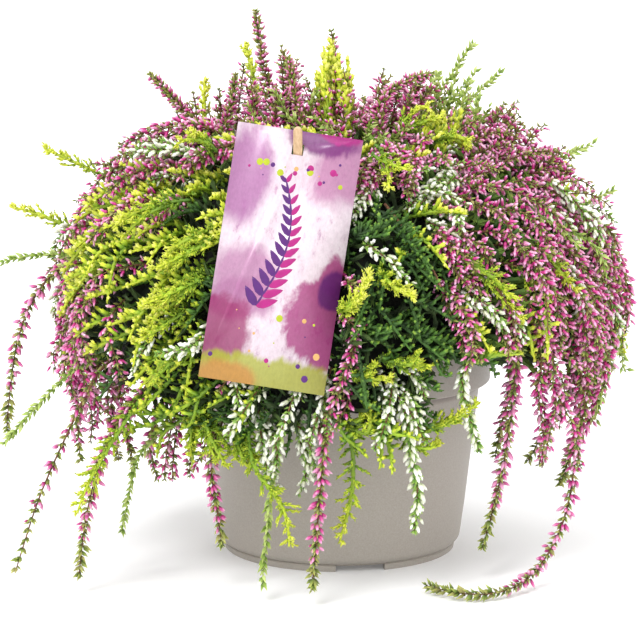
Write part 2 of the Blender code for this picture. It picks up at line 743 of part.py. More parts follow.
def build_pot():
    """The pot: floor, tapered wall, rim band and foot ring, with notches and drain holes."""
    foot_radius = BODY_FOOT_RADIUS - FOOT_INSET
    corner = FLOOR_TOP + FLOOR_CORNER
    profile = (
        (0.0, FLOOR_TOP),
        (body_radius(corner) - WALL - FLOOR_CORNER, FLOOR_TOP),
        (body_radius(corner) - WALL, corner),
        (body_radius(BAND_BOTTOM) - WALL, BAND_BOTTOM + WALL),
        (BAND_FOOT_RADIUS - WALL, BAND_BOTTOM + 2 * WALL),
        (BAND_TOP_RADIUS - WALL, POT_HEIGHT),
        (BAND_TOP_RADIUS, POT_HEIGHT),
        (BAND_FOOT_RADIUS, BAND_BOTTOM),
        (body_radius(BAND_BOTTOM), BAND_BOTTOM),
        (body_radius(WALL_FOOT), WALL_FOOT),
        (BODY_FOOT_RADIUS - 0.2 * FOOT_INSET, FOOT_HEIGHT + 0.5 * FOOT_INSET),
        (BODY_FOOT_RADIUS - 0.7 * FOOT_INSET, FOOT_HEIGHT),
        (foot_radius, 0.0),
        (foot_radius - FOOT_WIDTH, 0.0),
        (foot_radius - FOOT_WIDTH, FOOT_HEIGHT),
        (0.0, FOOT_HEIGHT),
    )
    pot = turned("pot", profile, POT_STEPS, "pot")
    apply_modifiers(pot)
    cutters = []
    for k in range(NOTCH_COUNT):
        azimuth = NOTCH_AZIMUTH + 360.0 / NOTCH_COUNT * k
        turn = Matrix.Rotation(math.radians(azimuth), 4, "Z")
        place = turn @ Matrix.Translation((foot_radius - FOOT_WIDTH / 2, 0.0, 0.0))
        size = (3 * FOOT_WIDTH, NOTCH_WIDTH, 2 * NOTCH_HEIGHT)
        cutters.append(box("notch", size, place))
    for k in range(DRAIN_COUNT):
        place = about_axis(DRAIN_RING_RADIUS, 360.0 / DRAIN_COUNT * k, 0.0)
        drain = cylinder("drain", DRAIN_RADIUS, -FLOOR_TOP, 2 * FLOOR_TOP, place, DRAIN_SIDES)
        cutters.append(drain)
    combine(pot, cutters, "DIFFERENCE")
    shade_round(pot)
    return pot


def trunk_places():
    """Where each bush's trunk stands in the soil."""
    return [about_axis(TRUNK_RING_RADIUS, (first + last) / 2, 0.0) for _, _, first, last in BUSHES]


def stake_matrix():
    """The stake's frame: Z along it, X across the label, its middle at the origin."""
    foot = Vector(STAKE_FOOT)
    slit = Vector(slit_centre())
    along = (slit - foot).normalized()
    across = (label_matrix().to_3x3() @ Vector((1.0, 0.0, 0.0))).normalized()
    across = (across - across.dot(along) * along).normalized()
    through = along.cross(across)
    turn = Matrix((across, through, along)).transposed().to_4x4()
    top = slit + along * STAKE_ABOVE_SLIT
    return Matrix.Translation((foot + top) / 2) @ turn, (top - foot).length


def build_soil():
    """The soil plug, with a plain hole for each trunk and a slot for the stake."""
    band_radius = BAND_FOOT_RADIUS - WALL - SOIL_CLEARANCE
    corner = FLOOR_TOP + FLOOR_CORNER
    profile = (
        (0.0, SOIL_TOP + SOIL_CROWN),
        (band_radius / 2, SOIL_TOP + 0.8 * SOIL_CROWN),
        (band_radius, SOIL_TOP - SOIL_CORNER),
        (band_radius, BAND_BOTTOM + 2 * WALL + SOIL_CLEARANCE),
        (body_radius(BAND_BOTTOM) - WALL - SOIL_CLEARANCE, BAND_BOTTOM + WALL + SOIL_CLEARANCE),
        (body_radius(corner) - WALL - SOIL_CLEARANCE, corner),
        (body_radius(corner) - WALL - FLOOR_CORNER - SOIL_CLEARANCE, FLOOR_TOP + GAP),
        (0.0, FLOOR_TOP + GAP),
    )
    soil = turned("soil", profile, SOIL_STEPS, "soil")
    apply_modifiers(soil)
    hole_radius = TRUNK_RADIUS + 1.3 * GAP
    hole_foot = SOIL_TOP - TRUNK_DEPTH - GAP
    cutters = [
        cylinder("hole", hole_radius, hole_foot, UNDERSIDE, place, TRUNK_SIDES)
        for place in trunk_places()
    ]
    matrix, length = stake_matrix()
    cutters.append(box("slot", (STAKE_WIDTH + 2 * GAP, STAKE_THICKNESS + 2 * GAP, length + 1.0), matrix))
    combine(soil, cutters, "DIFFERENCE")
    shade_round(soil)
    return soil


def build_label():
    """The card label, with the slit that the stake is threaded through."""
    label = box("label", (LABEL_WIDTH, LABEL_THICKNESS, LABEL_HEIGHT), label_matrix())
    add_to_parts(label, "label")
    up = LABEL_HEIGHT / 2 - SLIT_BELOW_TOP
    slit = label_matrix() @ Matrix.Translation((0.0, 0.0, up))
    size = (SLIT_WIDTH, 4 * LABEL_THICKNESS, SLIT_HEIGHT)
    combine(label, [box("slit", size, slit)], "DIFFERENCE")
    return label


def add_to_parts(obj, colour):
    """Moves a primitive to the parts collection and gives it its colour."""
    for collection in list(obj.users_collection):
        collection.objects.unlink(obj)
    parts_collection().objects.link(obj)
    obj.data.materials.clear()
    obj.data.materials.append(material(colour))


def build_stake():
    """The flat wooden stake with a round top: an outline with thickness."""
    matrix, length = stake_matrix()
    half = STAKE_WIDTH / 2
    round_top = [
        (half * math.cos(math.radians(a)), length / 2 - half + half * math.sin(math.radians(a)))
        for a in range(0, 181, 20)
    ]
    foot = -length / 2
    shoulder = foot + STAKE_POINT_LENGTH
    outline = [(-0.5 * half, foot), (0.5 * half, foot), (half, shoulder)]
    outline += round_top + [(-half, shoulder)]
    curve = bpy.data.curves.new("stake_outline", "CURVE")
    curve.dimensions = "2D"
    curve.fill_mode = "BOTH"
    curve.extrude = STAKE_THICKNESS / 2 * MM
    spline = curve.splines.new("POLY")
    spline.points.add(len(outline) - 1)
    for point, (across, along) in zip(spline.points, outline):
        point.co = (across * MM, along * MM, 0.0, 1.0)
    spline.use_cyclic_u = True
    flat = bpy.data.objects.new("stake_outline", curve)
    bpy.context.scene.collection.objects.link(flat)
    upright = matrix @ Matrix.Rotation(math.radians(90.0), 4, "X")
    move_to(flat, upright)
    stake = mesh_of_curve("label_stake", flat, "label_stake")
    return stake


def mesh_of_curve(name, flat, colour):
    """A mesh object in the place of a curve object, which is removed."""
    bpy.context.view_layer.update()
    graph = bpy.context.evaluated_depsgraph_get()
    mesh = bpy.data.meshes.new_from_object(flat.evaluated_get(graph))
    edit = bmesh.new()
    edit.from_mesh(mesh)
    bmesh.ops.remove_doubles(edit, verts=edit.verts[:], dist=0.00001)
    edit.to_mesh(mesh)
    edit.free()
    obj = add_object(name, mesh, colour)
    obj.matrix_world = flat.matrix_world.copy()
    bpy.data.objects.remove(flat)
    return obj


def stitch(upper, lower, raised):
    """Triangles between two rows of point numbers, one of which may have twice the points.

    Between equal rows each square is split from low point to low point, so that a raised
    point is the tip of a four-sided shoot.
    """
    faces = []
    if len(upper) == len(lower):
        for k in range(len(upper) - 1):
            a, b, c, d = upper[k], upper[k + 1], lower[k + 1], lower[k]
            if a in raised or c in raised:
                faces += [(a, b, d), (b, c, d)]
            else:
                faces += [(a, b, c), (a, c, d)]
        return faces
    few, many = (upper, lower) if len(upper) < len(lower) else (lower, upper)
    share = (len(many) - 1) // (len(few) - 1)
    for k in range(len(few) - 1):
        run = many[k * share : (k + 1) * share + 1]
        turn = len(run) // 2
        faces += [(few[k], p, q) for p, q in zip(run[:turn], run[1 : turn + 1])]
        faces.append((few[k], few[k + 1], run[turn]))
        faces += [(few[k + 1], p, q) for p, q in zip(run[turn:], run[turn + 1 :])]
    return faces


def inward(azimuth, sign):
    """The direction at right angles to a bush's side wall, into the bush."""
    angle = math.radians(azimuth + 90.0 * sign)
    return np.array([math.cos(angle), math.sin(angle), 0.0])


def build_bush(index, crown, roots):
    """One bush: its crown's outside with raised shoots and sockets, its underside and its trunk."""
    name, colour, first, last = BUSHES[index]
    sockets = {(row, column) for c, row, column in roots if c == index}
    middle = (first + last) / 2
    edge = WEDGE_GAP / 2 / math.sin(math.radians((last - first) / 2))
    points = []
    rows = []
    raised = set()

    def add_row(positions):
        rows.append(list(range(len(points), len(points) + len(positions))))
        points.extend(positions)

    top = crown_surface(np.array([middle]), np.array([90.0]))[0][2]
    add_row([about_axis(edge, middle, top)])
    for row, base in enumerate(crown.points):
        place = base + crown.heights[row][:, None] * crown.lean(row)
        for column in range(len(base)):
            if (row, column) in sockets:
                place[column] = base[column] - SOCKET_DEPTH * crown.normals[row][column]
            if crown.heights[row][column] > 0.0:
                raised.add(len(points) + column)
        place[0] = place[0] + WEDGE_GAP / 2 * inward(first, 1)
        place[-1] = place[-1] + WEDGE_GAP / 2 * inward(last, -1)
        add_row(list(place))
    full = len(rows[-1]) - 1
    inner = (
        (full // 2, INNER_RADIUS, 0.0),
        (full // 2, INNER_RADIUS, UNDERSIDE),
        (full // 4, UNDERSIDE_RADIUS, UNDERSIDE),
    )
    for count, radius, height in inner:
        azimuth = np.linspace(first, last, count + 1)
        lip = crown_surface(azimuth, np.full(count + 1, LAST_ROW_ANGLE))[:, 2]
        height = np.maximum(height, np.minimum(lip + INNER_LIP, UNDERSIDE - UNDERSIDE_STEP))
        place = about_axis(radius, azimuth, height)
        place[0] += WEDGE_GAP / 2 * inward(first, 1)
        place[-1] += WEDGE_GAP / 2 * inward(last, -1)
        add_row(list(place))
    add_row([about_axis(edge, middle, UNDERSIDE)])
    faces = []
    for upper, lower in zip(rows, rows[1:]):
        if len(upper) == 1:
            faces += [(upper[0], a, b) for a, b in zip(lower, lower[1:])]
        elif len(lower) == 1:
            faces += [(lower[0], a, b) for a, b in zip(upper, upper[1:])]
        else:
            faces += stitch(upper, lower, raised)
    faces.append([row[0] for row in rows])
    faces.append([row[-1] for row in rows])
    bush = add_object(name, mesh_from(name, points, faces), colour)
    place = trunk_places()[index]
    trunk_foot = SOIL_TOP - TRUNK_DEPTH
    trunk_top = UNDERSIDE + TRUNK_OVERLAP
    trunk = cylinder("trunk", TRUNK_RADIUS, trunk_foot, trunk_top, place, TRUNK_SIDES)
    combine(bush, [trunk], "UNION")
    if index == 0:
        matrix, length = stake_matrix()
        size = (STAKE_WIDTH + 4 * GAP, STAKE_THICKNESS + 4 * GAP, length + 6.0)
        combine(bush, [box("slot", size, matrix)], "DIFFERENCE")
    return bush


def build_spray(name, kind, route, rng):
    """One spray: a six-sided stem whose buds or leaves are raised from its surface.

    At each ring every other corner is drawn out and towards the tip, and the next ring
    draws out the corners between, so each drawn corner is the tip of a four-sided bud.
    """
    size = SPRAY_KINDS[kind]
    curve = bpy.data.curves.new(name, "CURVE")
    curve.dimensions = "3D"
    curve.bevel_depth = size["stem"] * MM
    curve.bevel_resolution = (SPRAY_SIDES - 4) // 2
    curve.use_fill_caps = True
    spline = curve.splines.new("POLY")
    spline.points.add(len(route) - 1)
    for point, place in zip(spline.points, route):
        point.co = (*(place * MM), 1.0)
    spline.points[0].radius = ROOT_RADII[0]
    spline.points[1].radius = ROOT_RADII[1]
    spline.points[len(route) - 1].radius = TIP_RADIUS
    line = bpy.data.objects.new(name + "_line", curve)
    bpy.context.scene.collection.objects.link(line)
    bpy.context.view_layer.update()
    graph = bpy.context.evaluated_depsgraph_get()
    mesh = bpy.data.meshes.new_from_object(line.evaluated_get(graph))
    bpy.data.objects.remove(line)
    tangents = unit(np.gradient(route, axis=0))
    reach = reach_along(kind, len(route))
    caps = len(mesh.vertices) - SPRAY_SIDES * len(route)
    drawn = set()
    for ring in range(1, len(route) - 1):
        for side in range(SPRAY_SIDES):
            number = caps + ring * SPRAY_SIDES + side
            out = reach[ring] * rng.uniform(BUD_SHRINK, 1.0)
            if (ring + side) % 2 or out < size["stem"] + 0.5:
                continue
            corner = np.array(mesh.vertices[number].co) / MM
            lean = size["lean"] * out / size["reach"]
            place = route[ring] + unit(corner - route[ring]) * out + tangents[ring] * lean
            mesh.vertices[number].co = place * MM
            drawn.add(number)
    for vertex in mesh.vertices:
        vertex.co.z = max(vertex.co.z, GROUND_CLEARANCE * MM)
    edit = bmesh.new()
    edit.from_mesh(mesh)
    edit.verts.ensure_lookup_table()
    for face in [face for face in edit.faces if len(face.verts) == 4]:
        corners = list(face.verts)
        low = [corner for corner in corners if corner.index not in drawn]
        pair = low if len(low) == 2 else [corners[0], corners[2]]
        bmesh.utils.face_split(face, *pair)
    bmesh.ops.remove_doubles(edit, verts=edit.verts[:], dist=0.00001)
    bmesh.ops.triangulate(edit, faces=[face for face in edit.faces if len(face.verts) > 3])
    bmesh.ops.recalc_face_normals(edit, faces=edit.faces[:])
    edit.to_mesh(mesh)
    edit.free()
    return add_object(name, mesh, kind)


def place_whole():
    """Moves the finished pieces so that the origin is under the middle of the whole plant."""
    stand = bpy.data.objects.new("stand", None)
    parts_collection().objects.link(stand)
    stand.location = (POT_AXIS_X * MM, POT_AXIS_Y * MM, 0.0)
    for obj in list(parts_collection().objects):
        if obj is not stand:
            obj.parent = stand


def main():
    for obj in list(bpy.data.objects):
        bpy.data.objects.remove(obj)
    crowns = [Crown(index) for index in range(len(BUSHES))]
    names, kinds, roots, routes = spray_routes(crowns)
    clear_shoots(crowns, routes, kinds)
    build_pot()
    build_soil()
    build_label()
    build_stake()
    for index, crown in enumerate(crowns):
        build_bush(index, crown, roots)
    rng = np.random.default_rng(SPRAY_SEED)
    for name, kind, route in zip(names, kinds, routes):
        build_spray(name, kind, route, rng)
    place_whole()


main()
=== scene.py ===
"""Looks of a mixed heather in a round plastic pot, laid out as a Blender add-on.

Lengths are in millimetres about the pot's own axis, and one step turns them into the frame's
metres. Angles are in degrees unless a name says otherwise. -Y is the front.
"""

import json
import math

import bpy
import numpy as np
from bpy.props import FloatProperty, FloatVectorProperty, IntProperty, PointerProperty
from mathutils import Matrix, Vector

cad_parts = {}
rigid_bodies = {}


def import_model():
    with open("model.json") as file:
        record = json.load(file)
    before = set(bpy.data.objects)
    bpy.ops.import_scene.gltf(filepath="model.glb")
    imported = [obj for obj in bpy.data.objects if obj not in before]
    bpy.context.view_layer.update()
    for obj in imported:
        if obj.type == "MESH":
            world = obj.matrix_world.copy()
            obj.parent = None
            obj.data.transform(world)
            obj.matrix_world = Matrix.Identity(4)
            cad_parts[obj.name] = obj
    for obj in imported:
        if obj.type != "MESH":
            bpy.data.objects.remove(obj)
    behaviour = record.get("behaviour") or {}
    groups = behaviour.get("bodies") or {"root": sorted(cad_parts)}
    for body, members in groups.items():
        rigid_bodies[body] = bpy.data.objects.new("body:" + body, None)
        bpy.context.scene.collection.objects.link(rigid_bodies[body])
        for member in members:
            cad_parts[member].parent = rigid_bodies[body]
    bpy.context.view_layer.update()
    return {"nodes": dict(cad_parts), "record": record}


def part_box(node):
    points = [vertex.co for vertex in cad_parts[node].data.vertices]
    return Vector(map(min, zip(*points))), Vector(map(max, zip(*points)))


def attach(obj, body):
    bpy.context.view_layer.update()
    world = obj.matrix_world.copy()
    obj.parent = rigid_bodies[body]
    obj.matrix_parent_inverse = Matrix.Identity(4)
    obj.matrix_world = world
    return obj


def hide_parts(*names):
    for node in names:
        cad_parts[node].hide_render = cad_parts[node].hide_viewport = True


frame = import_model()

bl_info = {
    "name": "Potted heather",
    "version": (1, 0, 0),
    "blender": (4, 5, 0),
    "location": "View3D > Sidebar > Heather",
    "description": "Grows the fine shoots, buds and leaves of a potted heather on its frame",
    "category": "Object",
}

MM = 0.001
UP = np.array([0.0, 0.0, 1.0])
FLAT = np.array([1.0, 1.0, 0.0])

# Pot, as the frame gives it, and the parts of its wall
POT_LOW, POT_HIGH = (np.array(corner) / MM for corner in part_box("pot"))
AXIS = np.array([(POT_LOW[0] + POT_HIGH[0]) / 2, (POT_LOW[1] + POT_HIGH[1]) / 2, 0.0])
POT_HEIGHT = float(POT_HIGH[2])
BAND_TOP_RADIUS = float(POT_HIGH[0] - POT_LOW[0]) / 2
BAND_FOOT_RADIUS = BAND_TOP_RADIUS - 1.0
BODY_FOOT_RADIUS = 52.0
BODY_TAPER = 0.118
FLOOR_TOP = 4.8
FLOOR_CORNER = 2.0
FOOT_HEIGHT = 3.0
FOOT_WIDTH = 4.0
FOOT_INSET = 2.0
NOTCH_AZIMUTHS = (-79.6, 40.4, 160.4)
NOTCH_WIDTH = 21.0
NOTCH_HEIGHT = 2.8
FOOT_EDGE = 0.6
LOW_CORNER_RADIUS = 4.1
BAND_CORNER_RADIUS = 0.8
DRAIN_RADIUS = 4.0
DRAIN_RING_RADIUS = 30.0
DRAIN_COUNT = 6
# Height of the strip of painted shade under the pot's band
SHADE_HEIGHT = 3.6
CRISP_POT_ANGLE = 32.0

# Label and stake
LABEL_CENTRE = (np.array(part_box("label")[0]) + np.array(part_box("label")[1])) / 2 / MM - AXIS
LABEL_WIDTH = 50.0
LABEL_HEIGHT = 102.0
LABEL_THICKNESS = 0.6
LABEL_ROLL = 8.7
LABEL_LEAN = 12.7
SLIT_BELOW_TOP = 7.5
SLIT_WIDTH = 4.6
SLIT_HEIGHT = 4.3
STAKE_WIDTH = 3.6
STAKE_THICKNESS = 1.5
STAKE_ABOVE_SLIT = 10.0
STAKE_FOOT = np.array([-17.0, -44.0, 62.0])
STAKE_SIDES = 20
CRISP_STAKE_ANGLE = 40.0

# Print: a sprig that curves up the card, and dots of four sizes above and below it
INK_THICKNESS = 0.09
SPRIG_PAIRS = 13
SPRIG_FOOT = -20.0
SPRIG_RISE = 50.0
SPRIG_SWING = 9.0
SPRIG_BEND = 2.6
SPRIG_LEAF = 9.0
SPRIG_LEAF_LOSS = 4.6
DOTS_OF_EACH_INK = 9
DOT_SIZES = (0.6, 1.1, 1.9, 2.8)
DOTS_ACROSS = (-22.0, 22.0)
DOTS_ABOVE = (30.0, 40.0)
DOTS_BELOW = (-46.0, -22.0)
INKS = ("violet ink", "magenta ink", "lime ink", "ochre ink")
PRINT_SEED = 7

# Crown, as in the solids: its widest place, the dome above it and the skirt below
CROWN_RADIUS = 108.0
CROWN_LEVEL = 107.0
CROWN_RISE = 70.0
CROWN_ROUNDNESS = 2.2
SKIRT_DEPTH = 46.0
SKIRT_DEPTH_SWING = 7.0
SKIRT_LOW_AZIMUTH = -115.0
SKIRT_ROUNDNESS = 3.0
# Shares of the skirt's depth: how far down its section is read, and where it turns upright
SKIRT_READ_TO = 0.8
SKIRT_UPRIGHT_FROM = 0.75
# The skirt opens at the front right, where the pot's band shows
OPENING_AZIMUTH = -58.0
OPENING_WIDTH = 15.0
OPENING_RISE = 35.0
# Heights of the crown's slow waves, which fade inside a radius
BROAD_WAVE = 2.2
NARROW_WAVE = 1.8
WAVES_FADE_INSIDE = 60.0
# Inside and underside of the crown, around the pot's rim
LAST_ROW_ANGLE = -50.0
UNDERSIDE = 99.0
UNDERSIDE_RADIUS = 40.0
INNER_RADIUS = 72.0
INNER_LIP = 8.0
UNDERSIDE_STEP = 2.0
# The bushes' hearts: how deep below the widest level, how far inside the crown's surface
HEART_DEPTH = 30.0
HEART_INSET = 6.0
HEART_ROWS = 34
HEART_COLUMNS = 46
WEDGE_GAP = 0.8
TRUNK_RING_RADIUS = 30.0
TRUNK_FOOT = 61.0
TRUNK_RADIUS = 4.2
# Each bush: its node and the azimuths of its side walls
BUSHES = (("bush_gold", -170.0, -65.0), ("bush_rose", -65.0, 55.0), ("bush_white", 55.0, 190.0))

# Kinds of shoot in the crown: least and greatest length, share by which the lowest are longer,
# middle and spread of the height at which it lies above the crown's surface, least and greatest
# lift of its tip from there, how far it may turn from the fall line, and how strongly it falls
SHOOTS = {
    "rose": ((34.0, 54.0), -0.05, (11.0, 3.4), (-1.0, 6.0), 34.0, 1.0),
    "white": ((30.0, 46.0), 0.1, (11.0, 3.0), (0.0, 4.0), 30.0, 1.0),
    "gold": ((26.0, 40.0), 0.45, (9.0, 2.5), (3.0, 10.0), 42.0, 0.5),
    "deep": ((26.0, 38.0), 0.45, (6.5, 2.0), (0.0, 5.0), 50.0, 0.7),
    "green": ((28.0, 44.0), 0.2, (10.0, 3.0), (2.0, 8.0), 36.0, 0.7),
}
# Crown angles below and above which shoots count as low and high, and how fast that grows
LOW_BELOW = -14.0
LOW_FADE = 30.0
HIGH_ABOVE = 38.0
HIGH_FADE = 24.0
HIGH_LIFT = 4.0
# How far chance lets shoots hang below the hem
HEM_EASE = 13.0
# How strongly a shoot leads to the left or right of the front's middle, how much of each step
# keeps the last one's way, and how deep in the heart a shoot is rooted
SIDEWAYS = 0.45
STIFFNESS = 0.52
ROOT_DEPTH = 5.0
SHOOT_STEPS = 16
ROUTE_SPACING = 2.5
# Room that shoots leave behind the label and beyond its edges, and around and above the pot's rim
LABEL_ROOM = (7.0, 4.0)
LAID_LABEL_ROOM = (5.0, 3.0)
HEART_LABEL_ROOM = (6.0, 8.0)
POT_ROOM = 6.5
RIM_ROOM = 4.0
# Shoots that stand on the crown's top: kind, number, middle of their feet and its spread, and
# the middle of their tips and its spread
CREST = (
    ("rose", 13, (-30.0, -8.0), (14.0, 14.0), (-30.0, -10.0, 203.0), (7.0, 5.0, 13.0)),
    ("rose", 3, (-20.0, -6.0), (4.0, 4.0), (-25.5, -8.0, 215.0), (2.5, 3.0, 4.0)),
    ("gold", 1, (-4.0, -12.0), (2.0, 2.0), (-8.5, -12.0, 218.0), (1.0, 1.0, 2.0)),
    ("rose", 9, (-8.0, -16.0), (12.0, 10.0), (-12.0, -18.0, 202.0), (7.0, 4.0, 10.0)),
    ("rose", 10, (-52.0, -2.0), (10.0, 14.0), (-58.0, -6.0, 194.0), (8.0, 5.0, 8.0)),
    ("green", 6, (-16.0, -18.0), (14.0, 6.0), (-18.0, -26.0, 195.0), (12.0, 4.0, 8.0)),
    ("gold", 4, (-14.0, -24.0), (16.0, 4.0), (-16.0, -32.0, 186.0), (14.0, 4.0, 6.0)),
    ("white", 3, (-12.0, -26.0), (12.0, 4.0), (-14.0, -34.0, 187.0), (14.0, 4.0, 5.0)),
    ("gold", 15, (-1.0, -10.0), (7.0, 7.0), (-3.0, -14.0, 209.0), (6.0, 4.0, 7.0)),
    ("rose", 12, (17.0, -16.0), (8.0, 9.0), (30.0, -19.0, 205.0), (8.0, 4.0, 5.0)),
    ("green", 9, (42.0, -2.0), (12.0, 10.0), (50.0, -5.0, 201.0), (8.0, 5.0, 7.0)),
    ("green", 5, (52.0, -8.0), (8.0, 8.0), (58.0, -14.0, 196.0), (5.0, 5.0, 5.0)),
    ("gold", 7, (36.0, -22.0), (9.0, 5.0), (42.0, -28.0, 188.0), (5.0, 4.0, 4.0)),
    ("rose", 14, (62.0, -4.0), (12.0, 14.0), (75.0, -8.0, 189.0), (6.0, 6.0, 5.0)),
    ("rose", 8, (80.0, -6.0), (8.0, 12.0), (94.0, -10.0, 172.0), (6.0, 6.0, 5.0)),
    ("rose", 10, (38.0, 8.0), (12.0, 8.0), (42.0, 8.0, 196.0), (6.0, 5.0, 5.0)),
    ("rose", 12, (-20.0, 22.0), (30.0, 12.0), (-22.0, 26.0, 197.0), (6.0, 5.0, 5.0)),
    ("white", 8, (20.0, 36.0), (28.0, 10.0), (22.0, 42.0, 190.0), (6.0, 5.0, 5.0)),
)
